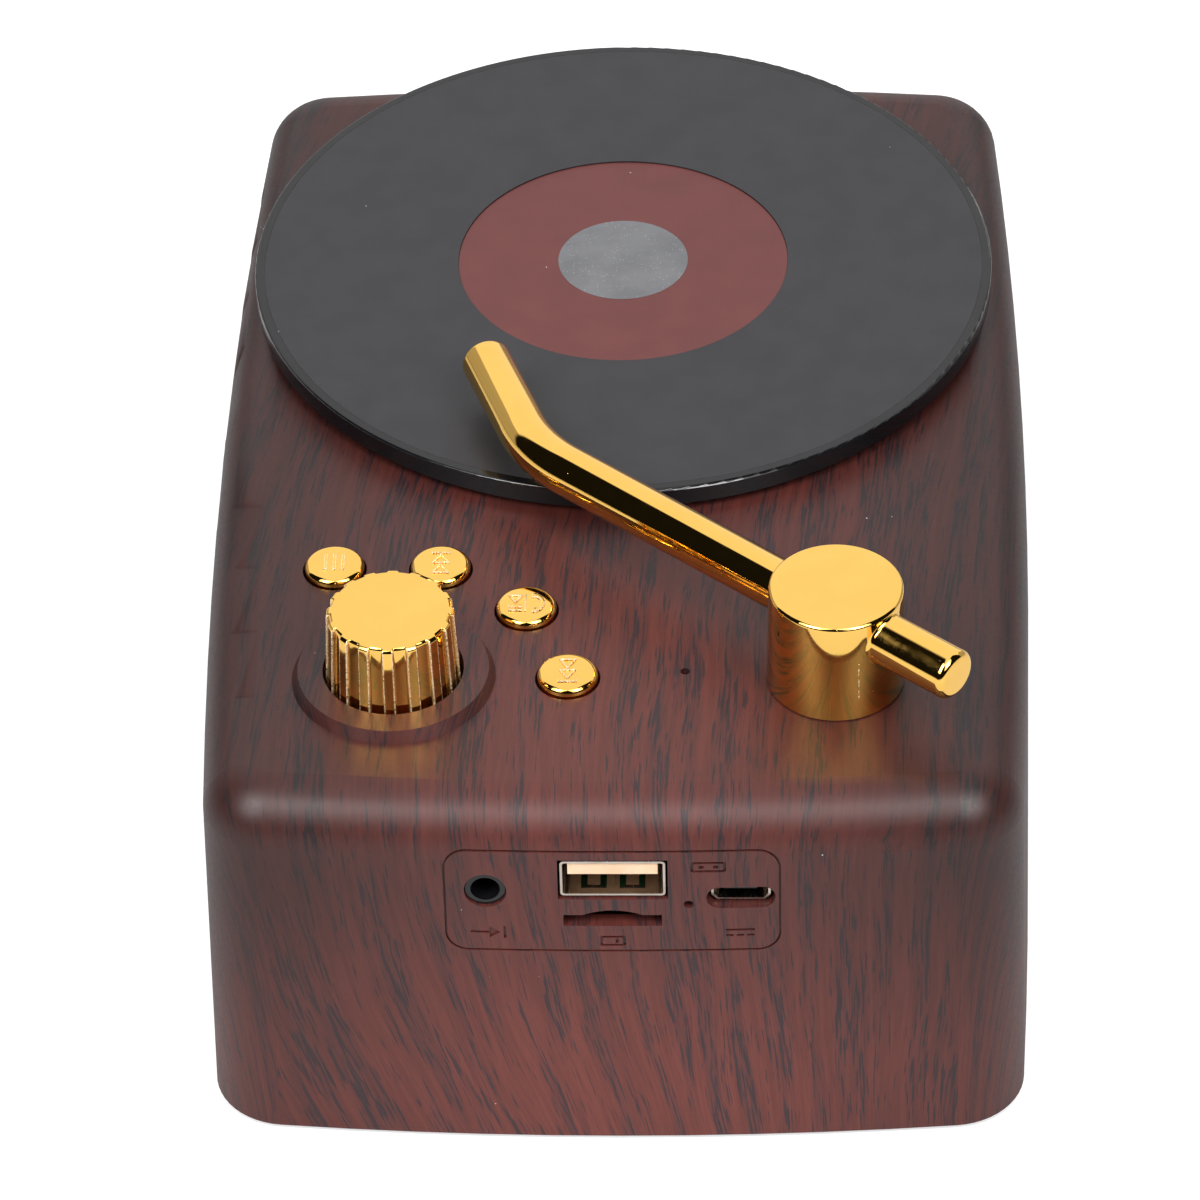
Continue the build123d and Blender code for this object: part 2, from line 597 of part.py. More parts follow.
arm, tail = tonearm_rod(), tonearm_tail()
save("tonearm_rod", arm)
save("tonearm_tail", tail)
save("tonearm_drum", tonearm_drum(arm, tail))
save("tonearm_washer", ring(7.5, 1.6, CEILING - 1.25, CEILING - 0.25, PIVOT_AT))
save("tonearm_screw", Pos(*PIVOT_AT, CEILING - 1.25) * pan_screw(3.0, 1.4, 1.3, 6.0))


# ---------------------------------------------------------------- volume knob
def volume_knob():
    """Fluted, slightly tapered cap, hollow below, with a boss for the shaft."""
    low, high = CEILING + 0.5, ROOF + KNOB_TOP
    tall = high - low
    cap = turned((0, 0), (KNOB_BASE_R, 0), (KNOB_R, tall), (0, tall))
    cap = fillet(cap.edges().group_by(Axis.Z)[-1], 0.6)
    lean = degrees(atan2(KNOB_BASE_R - KNOB_R, tall))
    cutter_r, flute_deep = 1.3, 0.42
    cutter = Rot(0, -lean, 0) * Cylinder(cutter_r, 3 * tall)
    cutter = Pos(KNOB_BASE_R + cutter_r - flute_deep, 0, 0) * cutter
    cap -= [Rot(0, 0, (turn + 0.5) * 360 / KNOB_FLUTES) * cutter for turn in range(KNOB_FLUTES)]
    cap -= ring(6.4, 4.4, -1, tall - 1.8)
    cap -= disc(SHAFT_R, -1, tall - 2.5)
    return Pos(*KNOB_AT, low) * cap


save("volume_knob", volume_knob())
save("encoder_shaft", disc(SHAFT_R, KEY_BOARD_TOP + 1.2, ROOF + KNOB_TOP - 2.5, KNOB_AT))


# ---------------------------------------------------------------- buttons
def outline(shape, line=0.28):
    return shape - offset(shape, -line, kind=Kind.INTERSECTION)


def arrowhead(u, v, size, point):
    """Hollow triangle in the icon's own plane; point is +1 to the right, -1 to the left."""
    half, rise = size / 2, size * 0.62
    triangle = outline(Polygon((-half, rise), (-half, -rise), (half, 0), align=None))
    return Pos(u, v) * Rot(0, 0, 0 if point > 0 else 180) * triangle


def icon(name):
    """Raised mark on a button, as seen by someone facing the grille side."""
    bar = Rectangle(0.45, 2.4)
    if name == "mode":
        return [Pos(0, v) * Rectangle(3.0, 0.45) for v in (-1.1, 0, 1.1)]
    if name == "previous":
        return [Pos(-2.0, 0) * bar, arrowhead(-0.6, 0, 1.8, -1), arrowhead(1.4, 0, 1.8, -1)]
    if name == "next":
        return [Pos(2.0, 0) * bar, arrowhead(0.6, 0, 1.8, 1), arrowhead(-1.4, 0, 1.8, 1)]
    short = Rectangle(0.35, 1.7)
    handset = Pos(0, 0.9) * (
        (Circle(1.9) - Circle(1.3)) & Pos(0, 1.2) * Rectangle(6, 1.6)
    )
    return [
        arrowhead(-0.9, -1.4, 1.5, 1), Pos(0.7, -1.4) * short, Pos(1.4, -1.4) * short,
        Pos(0, -0.1) * Rectangle(3.2, 0.2), handset,
    ]


def button(name, at):
    """Domed round cap with a hidden flange and a stem that meets the switch."""
    top = ROOF + BUTTON_PROUD
    cap = disc(BUTTON_R, CEILING - 0.1, top)
    cap = fillet(cap.edges().group_by(Axis.Z)[-1], 0.7)
    cap += disc(BUTTON_R + 1.0, CEILING - 0.95, CEILING - 0.1)
    cap += disc(1.5, ACTUATOR_TOP, CEILING - 0.9)
    for stroke in icon(name):
        # the icon's right is -Y and its top is +X
        cap += Pos(0, 0, top - 0.05) * Rot(0, 0, -90) * extrude(stroke, 0.19)
    return Pos(*at, 0) * cap


for name, at in BUTTON_PLACES.items():
    save(f"{name}_button", button(name, at))
    save(f"{name}_actuator", disc(ACTUATOR_R, KEY_BOARD_TOP + 1.7, ACTUATOR_TOP, at))
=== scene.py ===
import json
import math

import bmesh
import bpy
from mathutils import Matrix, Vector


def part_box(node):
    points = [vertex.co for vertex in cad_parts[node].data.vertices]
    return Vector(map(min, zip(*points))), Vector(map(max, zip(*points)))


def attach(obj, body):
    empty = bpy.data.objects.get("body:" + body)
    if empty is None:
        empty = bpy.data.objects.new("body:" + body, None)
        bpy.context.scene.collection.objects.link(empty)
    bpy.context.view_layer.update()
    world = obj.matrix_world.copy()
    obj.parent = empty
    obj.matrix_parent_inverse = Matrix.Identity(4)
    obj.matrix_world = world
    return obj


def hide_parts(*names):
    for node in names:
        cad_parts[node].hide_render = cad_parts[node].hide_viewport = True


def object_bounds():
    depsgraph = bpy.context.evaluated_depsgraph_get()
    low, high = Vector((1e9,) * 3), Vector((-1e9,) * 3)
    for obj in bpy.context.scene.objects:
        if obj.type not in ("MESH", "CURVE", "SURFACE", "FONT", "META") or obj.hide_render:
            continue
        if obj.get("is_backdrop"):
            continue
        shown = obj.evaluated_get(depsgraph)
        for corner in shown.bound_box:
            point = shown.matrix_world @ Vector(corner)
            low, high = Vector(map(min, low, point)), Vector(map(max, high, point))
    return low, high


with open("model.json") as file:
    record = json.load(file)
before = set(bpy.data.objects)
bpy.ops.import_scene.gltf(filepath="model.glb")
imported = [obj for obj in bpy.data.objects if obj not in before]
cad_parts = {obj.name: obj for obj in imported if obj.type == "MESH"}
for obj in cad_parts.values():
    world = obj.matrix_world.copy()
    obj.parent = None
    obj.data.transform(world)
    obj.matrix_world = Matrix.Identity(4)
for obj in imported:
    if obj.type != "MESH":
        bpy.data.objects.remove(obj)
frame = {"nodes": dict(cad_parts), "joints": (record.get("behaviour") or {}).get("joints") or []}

# %% [markdown]
# # A miniature record-player loudspeaker
# The object is a small table loudspeaker dressed as a record player: a moulded casing with a
# wood-grain film, a gloss black platter with a matt face, and plated gold controls. The engineering
# model arrives as a fixed frame. This lesson dresses it: first the camera and the light, then the
# finishes, then the pieces that need softer edges than the engineering model gives them.

cad_low, cad_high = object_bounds()
MM = 0.001
joints = {joint["name"]: joint for joint in frame["joints"]}


def pivot(joint_name):
    """Where a turning joint's axis meets the roof of the casing, in metres."""
    return Vector(joints[joint_name]["pos_m"])


ROOF = pivot("tonearm_swing").z
size_mm = [round((high - low) / MM, 1) for low, high in zip(cad_low, cad_high)]
print("model box, mm:", size_mm, "roof at", round(ROOF / MM, 1))

# %% [markdown]
# ## Camera
# The object is looked down on from the socket end, through a long lens, so its verticals stay almost
# parallel. A camera looks along its own -Z, so tipping it back from straight down by
# 90 degrees minus the view's elevation aims it, and the two small turns set its heading and its roll.

# %% Camera
VIEW_FROM = Vector((21.763, -647.481, 569.729)) * MM
VIEW_DOWN = 0.7010       # radians below the horizon
VIEW_HEADING = 0.0392
VIEW_ROLL = -0.0269
LENS_MM = 187.06
SENSOR_MM = 36.0

camera_data = bpy.data.cameras.new("camera")
camera_data.lens = LENS_MM
camera_data.sensor_width = SENSOR_MM
camera_data.clip_start, camera_data.clip_end = 0.05, 20.0
camera = bpy.data.objects.new("camera", camera_data)
bpy.context.scene.collection.objects.link(camera)
aim = Matrix.Rotation(VIEW_HEADING, 4, "Z") @ Matrix.Rotation(math.pi / 2 - VIEW_DOWN, 4, "X")
camera.matrix_world = Matrix.Translation(VIEW_FROM) @ aim @ Matrix.Rotation(VIEW_ROLL, 4, "Z")
bpy.context.scene.camera = camera
print("camera distance, mm:", round(VIEW_FROM.length / MM))

# %% [markdown]
# ## Floor and studio light
# Plated gold shows nothing but its surroundings, so the room matters more than the metal. The room
# here is a white tent. It is bright behind, and comes forward over the middle in a tongue; either side
# of that tongue the room is dark, and low down behind hangs unlit cloth. Two large softboxes stand
# either side of the camera. The dark parts give the gold its black bands, and the softboxes give it
# white glints. The tent is painted in the world shader with a few smooth steps across the sky.

# %% Floor
FLOOR_SIZE = 3.0
FLOOR_WHITE = 0.56
FLOOR_GLOW = 0.55             # seen directly, the paper is burnt out to plain white

floor_mesh = bmesh.new()
bmesh.ops.create_grid(floor_mesh, x_segments=1, y_segments=1, size=FLOOR_SIZE)
floor_data = bpy.data.meshes.new("studio_floor")
floor_mesh.to_mesh(floor_data)
floor_mesh.free()
floor = bpy.data.objects.new("studio_floor", floor_data)
bpy.context.scene.collection.objects.link(floor)
paper = bpy.data.materials.new("white_paper")
paper.use_nodes = True
paper_shader = paper.node_tree.nodes["Principled BSDF"]
paper_shader.inputs["Base Color"].default_value = (FLOOR_WHITE, FLOOR_WHITE, FLOOR_WHITE, 1)
paper_shader.inputs["Roughness"].default_value = 0.9
paper_shader.inputs["Specular IOR Level"].default_value = 0.1
paper_shader.inputs["Emission Color"].default_value = (1, 1, 1, 1)
looked_at = paper.node_tree.nodes.new("ShaderNodeLightPath")
glow = paper.node_tree.nodes.new("ShaderNodeMath")
glow.operation = "MULTIPLY"
glow.inputs[1].default_value = FLOOR_GLOW
paper.node_tree.links.new(looked_at.outputs["Is Camera Ray"], glow.inputs[0])
paper.node_tree.links.new(glow.outputs["Value"], paper_shader.inputs["Emission Strength"])
floor_data.materials.append(paper)
floor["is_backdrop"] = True

# %% Softboxes and the tent
SOFTBOX_DISTANCE = 1.0
SOFTBOX_SIZE = (0.62, 0.80)
SOFTBOX_RADIANCE = 2.6
CORE_SIZE = (0.24, 0.46)       # the lamp behind the cloth makes a bright middle
CORE_RADIANCE = 14.0
CORE_AHEAD = 0.02
SOFTBOX_PLACES = {"left": (-40.0, 46.0), "right": (37.0, 46.0)}     # heading, elevation
TENT_BRIGHTNESS = 1.05
TENT_TILT = 1.62               # weight of height against depth where the tent comes forward
TENT_FRONT = (0.88, 1.05)      # there its edge is 63 degrees above the camera's side
TENT_BACK = (0.20, 0.33)       # how far width and height draw the rest of its edge back
TENT_SOFT = 0.03
TONGUE_WIDTH = (0.34, 0.22)
CLOTH_TOP = (0.50, 0.46)       # the cloth hangs below this height
CLOTH_ASIDE = (0.50, 0.60)     # and further to the side than this
ROOM_DARKNESS = 0.008
CLOTH_BRIGHTNESS = 0.42


def softbox(name, heading, elevation, size, radiance, distance):
    """Area light that faces the middle of the object; heading 0 is over the camera."""
    turn, rise = math.radians(heading), math.radians(elevation)
    towards = Vector((math.sin(turn) * math.cos(rise), -math.cos(turn) * math.cos(rise), math.sin(rise)))
    data = bpy.data.lights.new(f"softbox_{name}", "AREA")
    data.shape = "RECTANGLE"
    data.size, data.size_y = size
    data.energy = radiance * math.pi * size[0] * size[1]
    light = bpy.data.objects.new(data.name, data)
    light.rotation_mode = "QUATERNION"
    light.rotation_quaternion = towards.to_track_quat("Z", "Y")
    light.location = Vector((0, 0, ROOF)) + towards * distance
    light.visible_camera = False
    bpy.context.scene.collection.objects.link(light)
    return light


for side, (heading, elevation) in SOFTBOX_PLACES.items():
    softbox(side, heading, elevation, SOFTBOX_SIZE, SOFTBOX_RADIANCE, SOFTBOX_DISTANCE)
    softbox(f"{side}_core", heading, elevation, CORE_SIZE, CORE_RADIANCE, SOFTBOX_DISTANCE - CORE_AHEAD)

world = bpy.data.worlds.new("tent")
bpy.context.scene.world = world
world.use_nodes = True
sky = world.node_tree
background = sky.nodes["Background"]
background.inputs["Color"].default_value = (1, 1, 1, 1)


def sky_math(operation, *values):
    """Arithmetic in the world's node tree."""
    node = sky.nodes.new("ShaderNodeMath")
    node.operation = operation
    for socket, value in zip(node.inputs, values):
        if isinstance(value, bpy.types.NodeSocket):
            sky.links.new(value, socket)
        else:
            socket.default_value = value
    return node.outputs["Value"]


def sky_step(value, low, high, to_low=0.0, to_high=1.0):
    """Smooth step in the world's node tree."""
    node = sky.nodes.new("ShaderNodeMapRange")
    node.interpolation_type = "SMOOTHSTEP"
    sky.links.new(value, node.inputs["Value"])
    for socket, number in zip(node.inputs[1:5], (low, high, to_low, to_high)):
        socket.default_value = number
    return node.outputs["Result"]


direction = sky.nodes.new("ShaderNodeTexCoord")
split = sky.nodes.new("ShaderNodeSeparateXYZ")
sky.links.new(direction.outputs["Generated"], split.inputs["Vector"])
x, y, z = split.outputs
aside = sky_math("ABSOLUTE", x)
# over the middle the tent comes forward to the camera's side
front = sky_step(sky_math("MULTIPLY_ADD", z, TENT_TILT, y), *TENT_FRONT)
# away from the middle its edge draws back behind the top of the sky
edge_y = sky_math("ADD", sky_math("MULTIPLY", aside, TENT_BACK[0]), sky_math("MULTIPLY", z, TENT_BACK[1]))
back = sky_step(sky_math("SUBTRACT", y, edge_y), -TENT_SOFT, TENT_SOFT)
centre = sky_step(aside, *TONGUE_WIDTH)
# low down behind the left and right, unlit cloth hangs
cloth = sky_math("MULTIPLY", sky_step(z, *CLOTH_TOP), sky_step(aside, *CLOTH_ASIDE))
folds = sky_math("MULTIPLY", cloth, 1.0 - CLOTH_BRIGHTNESS)
hanging = sky_math("MULTIPLY", back, CLOTH_BRIGHTNESS)
lit = sky_math("MULTIPLY", front, sky_math("MAXIMUM", back, centre))
lit = sky_math("MULTIPLY", sky_math("MULTIPLY", lit, sky_math("SUBTRACT", 1.0, folds)), TENT_BRIGHTNESS)
lit = sky_math("MAXIMUM", sky_math("MAXIMUM", lit, hanging), ROOM_DARKNESS)
seen = sky.nodes.new("ShaderNodeLightPath")
plain = sky.nodes.new("ShaderNodeMix")
plain.data_type = "FLOAT"
plain.inputs["B"].default_value = 1.0    # the backdrop itself is plain white
sky.links.new(seen.outputs["Is Camera Ray"], plain.inputs["Factor"])
sky.links.new(lit, plain.inputs["A"])
sky.links.new(plain.outputs["Result"], background.inputs["Strength"])
bpy.context.scene.view_settings.view_transform = "Standard"

# %% [markdown]
# ## Finishes
# Every finish is a node tree that starts from the piece's own coordinates in millimetres, so that a
# grain or a speck has a real size. A few small helpers keep each recipe short: one makes a node and
# fills its sockets, one does arithmetic, one makes noise, one turns a value into a colour.


# %% Helpers for node trees
class Finish:
    """A material with short ways to add nodes to it."""

    def __init__(self, name, **sockets):
        self.material = bpy.data.materials.new(name)
        self.material.use_nodes = True
        self.tree = self.material.node_tree
        self.shader = self.tree.nodes["Principled BSDF"]
        for socket, value in sockets.items():
            self.shader.inputs[socket.replace("_", " ")].default_value = value
        self.place = self.tree.nodes.new("ShaderNodeTexCoord")

    def put(self, socket, value):
        """Links value to a socket if it is a node's output, or else stores it there."""
        if isinstance(value, bpy.types.NodeSocket):
            self.tree.links.new(value, socket)
        else:
            socket.default_value = value

    def millimetres(self, centre=(0, 0, 0), stretch=(1, 1, 1)):
        """Object coordinates in millimetres, measured from centre and divided by stretch."""
        mapping = self.tree.nodes.new("ShaderNodeMapping")
        scale = [1 / (MM * size) for size in stretch]
        mapping.inputs["Scale"].default_value = scale
        mapping.inputs["Location"].default_value = [-c * s for c, s in zip(centre, scale)]
        self.tree.links.new(self.place.outputs["Object"], mapping.inputs["Vector"])
        return mapping.outputs["Vector"]

    def math(self, operation, *values):
        node = self.tree.nodes.new("ShaderNodeMath")
        node.operation = operation
        for socket, value in zip(node.inputs, values):
            self.put(socket, value)
        return node.outputs["Value"]

    def noise(self, vector, size=1.0, detail=2.0, rough=0.5, warp=0.0):
        """Noise from 0 to 1 whose features are about size units across."""
        node = self.tree.nodes.new("ShaderNodeTexNoise")
        node.inputs["Scale"].default_value = 1 / size
        node.inputs["Detail"].default_value = detail
        node.inputs["Roughness"].default_value = rough
        node.inputs["Distortion"].default_value = warp
        self.tree.links.new(vector, node.inputs["Vector"])
        return node.outputs["Fac"]

    def between(self, value, low, high, to_low=0.0, to_high=1.0):
        """Smooth step of value from low..high to to_low..to_high."""
        node = self.tree.nodes.new("ShaderNodeMapRange")
        node.interpolation_type = "SMOOTHSTEP"
        for socket, number in zip(node.inputs, (value, low, high, to_low, to_high)):
            self.put(socket, number)
        return node.outputs["Result"]

    def blend(self, factor, first, second):
        """Colour between first and second."""
        node = self.tree.nodes.new("ShaderNodeMix")
        node.data_type = "RGBA"
        self.put(node.inputs[0], factor)
        self.put(node.inputs[6], first)
        self.put(node.inputs[7], second)
        return node.outputs[2]

    def scaled(self, colour, factor):
        """Colour times a number."""
        node = self.tree.nodes.new("ShaderNodeVectorMath")
        node.operation = "SCALE"
        self.put(node.inputs[0], colour)
        self.put(node.inputs["Scale"], factor)
        return node.outputs["Vector"]

    def combine(self, x, y, z):
        node = self.tree.nodes.new("ShaderNodeCombineXYZ")
        for socket, value in zip(node.inputs, (x, y, z)):
            self.put(socket, value)
        return node.outputs["Vector"]

    def separate(self, vector):
        node = self.tree.nodes.new("ShaderNodeSeparateXYZ")
        self.tree.links.new(vector, node.inputs["Vector"])
        return node.outputs

    def specks(self, vector, spacing, radius, share):
        """Scattered round specks: 1 inside a speck, 0 elsewhere. share of the cells hold one."""
        node = self.tree.nodes.new("ShaderNodeTexVoronoi")
        node.inputs["Scale"].default_value = 1 / spacing
        self.tree.links.new(vector, node.inputs["Vector"])
        inside = self.between(node.outputs["Distance"], radius / spacing, 0.6 * radius / spacing)
        lucky = self.separate(node.outputs["Color"])["X"]
        return self.math("MULTIPLY", inside, self.math("LESS_THAN", lucky, share))

    def bump(self, height, depth_mm):
        """Bumps that rise depth_mm where height goes from 0 to 1."""
        node = self.tree.nodes.new("ShaderNodeBump")
        node.inputs["Strength"].default_value = 1.0
        node.inputs["Distance"].default_value = depth_mm * MM
        self.tree.links.new(height, node.inputs["Height"])
        self.tree.links.new(node.outputs["Normal"], self.shader.inputs["Normal"])

    def set(self, socket, value):
        self.put(self.shader.inputs[socket], value)


finishes = {}

# %% [markdown]
# ### Wood-grain film
# The casing isn't wood: it is a moulding dipped in a printed film, whose lines run along the roof,
# fold over the front edge and lean as they go down, because the film stretched on the water. So the
# pattern needs its own flat coordinates. One runs across the grain and one along it; each is the
# object coordinate plus the height below the roof, weighted by the surface normal, which unrolls the
# walls. Long thin noise cut at a level makes the dark dashes, and slower noise gathers them in bands.

# %% Wood film recipe
FRONT_EDGE = 78.0             # mm from the middle to where the grain folds over
FRONT_LEAN = 0.0034           # how fast the grain leans on the front wall
ROOF_LEAN = 0.0010            # and on the roof
LEAN_PLACE, LEAN_SPREAD = -15.0, 42.0    # mm across, where the front leans most and how widely
WANDER, WANDER_SIZE = 3.2, (16.0, 34.0)  # mm that the grain strays, and how slowly
BRICK = (0.093, 0.0205, 0.0155, 1)
BRICK_LIGHT = (0.116, 0.0262, 0.0198, 1)
SLATE = (0.0235, 0.0160, 0.0205, 1)
SLATE_DEEP = (0.0125, 0.0100, 0.0135, 1)
DUST = (0.62, 0.58, 0.56, 1)
# width and length in mm of the print's dark bands, dashes, hairlines and paler patches
BAND, DASH, HAIR, GLOW = (2.6, 46.0), (0.33, 6.0), (0.13, 8.0), (0.8, 14.0)
PAINTED_SHADE_SPAN = (6.0, 54.0)       # mm from the middle over which painted shade darkens the film towards the sides
# the film's tone in the middle, the painted shade at the sides, and the painted light on the walls below
# the roof
TONE, PAINTED_SHADE_AT_SIDE, PAINTED_LIGHT_BELOW_ROOF = 0.84, -0.55, 0.55


def unrolled_grain(f):
    """(across, along) in millimetres on the unrolled film, bent the way the film was stretched."""
    x, y, z = f.separate(f.millimetres())[0:3]
    normal = f.separate(f.place.outputs["Normal"])
    drop = f.math("SUBTRACT", ROOF / MM, z)
    across = f.math("MULTIPLY_ADD", drop, normal[0], x)
    along = f.math("MULTIPLY_ADD", drop, normal[1], y)
    past_edge = f.math("ADD", along, FRONT_EDGE)
    on_wall = f.math("MAXIMUM", f.math("MULTIPLY", past_edge, -1.0), 0.0)
    on_roof = f.math("MAXIMUM", past_edge, 0.0)
    # the lean is strongest left of the middle and dies out to the right
    offset = f.math("MULTIPLY", f.math("SUBTRACT", x, LEAN_PLACE), 1 / LEAN_SPREAD)
    local = f.math("EXPONENT", f.math("MULTIPLY", f.math("MULTIPLY", offset, offset), -1.0))
    wall_shift = f.math("MULTIPLY", f.math("MULTIPLY", on_wall, on_wall), local)
    shift = f.math("MULTIPLY", wall_shift, FRONT_LEAN)
    roof_shift = f.math("MULTIPLY", f.math("MULTIPLY", on_roof, on_roof), ROOF_LEAN)
    across = f.math("SUBTRACT", f.math("SUBTRACT", across, shift), roof_shift)
    slow = streaks(f, across, along, WANDER_SIZE, 0.0, 1.0)
    across = f.math("MULTIPLY_ADD", f.math("SUBTRACT", slow, 0.5), WANDER, across)
    return across, along


def streaks(f, across, along, size, layer, detail=2.0, rough=0.5):
    """Noise drawn out along the grain to a width and length in millimetres."""
    flat = f.combine(
        f.math("MULTIPLY", across, 1 / size[0]), f.math("MULTIPLY", along, 1 / size[1]), layer)
    return f.noise(flat, 1.0, detail, rough)


def wood_film():
    f = Finish("wood_grain_film", IOR=1.46)
    across, along = unrolled_grain(f)
    bands = streaks(f, across, along, BAND, 3.1, 2.0)
    dashes = streaks(f, across, along, DASH, 11.7, 2.0, 0.55)
    hairs = streaks(f, across, along, HAIR, 23.9, 2.0, 0.6)
    glow = streaks(f, across, along, GLOW, 37.3, 2.0)
    # where a band is dense, a dash needs less height to print dark
    level = f.between(bands, 0.36, 0.64, 0.64, 0.50)
    above = f.math("SUBTRACT", dashes, level)
    ink = f.math("MULTIPLY", f.between(above, -0.03, 0.08), 0.85)
    crowd = f.between(bands, 0.36, 0.60, 0.20, 0.60)
    fine = f.math("MULTIPLY", f.between(hairs, 0.50, 0.68), crowd)
    ink = f.math("MAXIMUM", ink, f.math("MULTIPLY", fine, 0.70))
    wash = f.between(bands, 0.44, 0.70, 0.0, 0.26)
    brick = f.blend(f.between(glow, 0.35, 0.68), BRICK, BRICK_LIGHT)
    brick = f.blend(wash, brick, SLATE)
    slate = f.blend(f.between(hairs, 0.4, 0.65), SLATE, SLATE_DEEP)
    wood = f.blend(ink, brick, slate)
    # painted shade darkens the film from the middle towards both sides and the corners, and painted light
    # makes the walls lighter from 8 mm below the roof downwards
    x, _, z = f.separate(f.millimetres())[0:3]
    side = f.between(f.math("ABSOLUTE", x), PAINTED_SHADE_SPAN[0], PAINTED_SHADE_SPAN[1])
    down = f.between(z, ROOF / MM - 8, 6.0)
    tone = f.math("MULTIPLY_ADD", down, PAINTED_LIGHT_BELOW_ROOF, f.math("MULTIPLY_ADD", side, PAINTED_SHADE_AT_SIDE, TONE))
    wood = f.scaled(wood, tone)
    dust = f.specks(f.millimetres(), 3.2, 0.11, 0.16)
    f.set("Base Color", f.blend(dust, wood, DUST))
    satin = f.noise(f.millimetres(), 0.5, 3.0)
    f.set("Roughness", f.math("MULTIPLY_ADD", f.between(satin, 0.3, 0.7), 0.06, 0.405))
    f.bump(f.math("MULTIPLY_ADD", ink, -0.35, satin), 0.006)
    return f.material


finishes["wood_film"] = wood_film()
print("wood film nodes:", len(finishes["wood_film"].node_tree.nodes))

# %% [markdown]
# ### Plated gold
# The controls are plastic with a bright metal plate and a yellow lacquer. A metallic shader with low
# roughness does it. Real plate follows the moulding under it, so a very shallow slow ripple bends the
# reflections a little, and tiny pits break the shine here and there.

# %% Gold recipe
GOLD = (1.0, 0.615, 0.150, 1)
GOLD_DEEP = (1.0, 0.595, 0.140, 1)


def gold_plate():
    f = Finish("gold_plate", Metallic=1.0)
    ripple = f.noise(f.millimetres(), 3.4, 1.0)
    tint = f.noise(f.millimetres(), 6.0, 2.0)
    f.set("Base Color", f.blend(f.between(tint, 0.35, 0.65), GOLD, GOLD_DEEP))
    pits = f.specks(f.millimetres(), 0.9, 0.05, 0.10)
    smear = f.between(f.noise(f.millimetres(), 1.6, 3.0), 0.35, 0.75, 0.035, 0.075)
    f.set("Roughness", f.math("MULTIPLY_ADD", pits, 0.4, smear))
    f.bump(f.math("MULTIPLY_ADD", pits, -1.2, ripple), 0.004)
    return f.material


finishes["gold_plate"] = gold_plate()

# %% [markdown]
# The knob's ridges, the drum's bead and the marks on the buttons have thin edges painted as glints. A
# second gold reads an attribute, painted on the mesh when the piece is made, and where it is 1 it
# turns pale, which is a painted highlight that makes them sparkle, and rough, which is real.

# %% Gold with painted glints on its edges
# the pale colour of the painted glints
PAINTED_GLINT = (1.0, 0.90, 0.74, 1)


def gold_with_bright_edges():
    f = Finish("gold_bright_edges")
    mark = f.tree.nodes.new("ShaderNodeAttribute")
    mark.attribute_name = "painted_glint"
    grit = f.noise(f.millimetres(), 0.16, 2.0, 0.7)
    glint = f.math("MULTIPLY", mark.outputs["Fac"], f.between(grit, 0.36, 0.58))
    tint = f.noise(f.millimetres(), 6.0, 2.0)
    plate = f.blend(f.between(tint, 0.35, 0.65), GOLD, GOLD_DEEP)
    # painted highlight: where marked, the gold turns a pale near-white and loses most of its metal
    f.set("Base Color", f.blend(glint, plate, PAINTED_GLINT))
    f.set("Metallic", f.math("SUBTRACT", 1.0, f.math("MULTIPLY", glint, 0.8)))
    smear = f.between(f.noise(f.millimetres(), 1.6, 3.0), 0.35, 0.75, 0.04, 0.09)
    f.set("Roughness", f.math("MULTIPLY_ADD", glint, 0.4, smear))
    f.bump(f.noise(f.millimetres(), 2.6, 1.0), 0.005)
    return f.material


finishes["gold_bright_edges"] = gold_with_bright_edges()

# %% [markdown]
# ### The platter: gloss black, matt film, label and spot
# Four blacks and greys that differ mostly in how they catch the light. The disc is polished
# acrylic. The record face is a printed matt film with a very fine tooth. The label is brick red, and
# the spot in the middle is a grey with a metallic sparkle.


# %% Platter finishes
def gloss_black():
    f = Finish("gloss_black", IOR=1.49)
    haze = f.noise(f.millimetres(), 7.0, 3.0)
    dust = f.specks(f.millimetres(), 4.0, 0.10, 0.12)
    ink = f.blend(f.between(haze, 0.3, 0.7), (0.0045, 0.0045, 0.0055, 1), (0.0070, 0.0070, 0.0082, 1))
    f.set("Base Color", f.blend(dust, ink, DUST))
    f.set("Roughness", f.between(f.noise(f.millimetres(), 2.5, 3.0), 0.35, 0.7, 0.07, 0.13))
    f.bump(f.noise(f.millimetres(), 9.0, 1.0), 0.006)
    return f.material


def printed_face(name, colour, second, roughness, tooth_mm, dust_share, sparkle=0.0):
    """Matt printed film: two close colours, a fine tooth and a few specks of dust."""
    f = Finish(name, IOR=1.45)
    mottle = f.noise(f.millimetres(), 5.0, 3.0, 0.6)
    tooth = f.noise(f.millimetres(), tooth_mm, 2.0, 0.7)
    tone = f.blend(f.between(f.math("MULTIPLY_ADD", tooth, 0.5, mottle), 0.55, 0.95), colour, second)
    if sparkle:
        flakes = f.specks(f.millimetres(), 0.42, 0.11, 0.30)
        tone = f.blend(f.math("MULTIPLY", flakes, sparkle), tone, DUST)
    dust = f.specks(f.millimetres(), 3.6, 0.10, dust_share)
    f.set("Base Color", f.blend(dust, tone, DUST))
    f.set("Roughness", f.between(tooth, 0.3, 0.7, roughness - 0.04, roughness + 0.05))
    f.bump(tooth, 0.005)
    return f.material


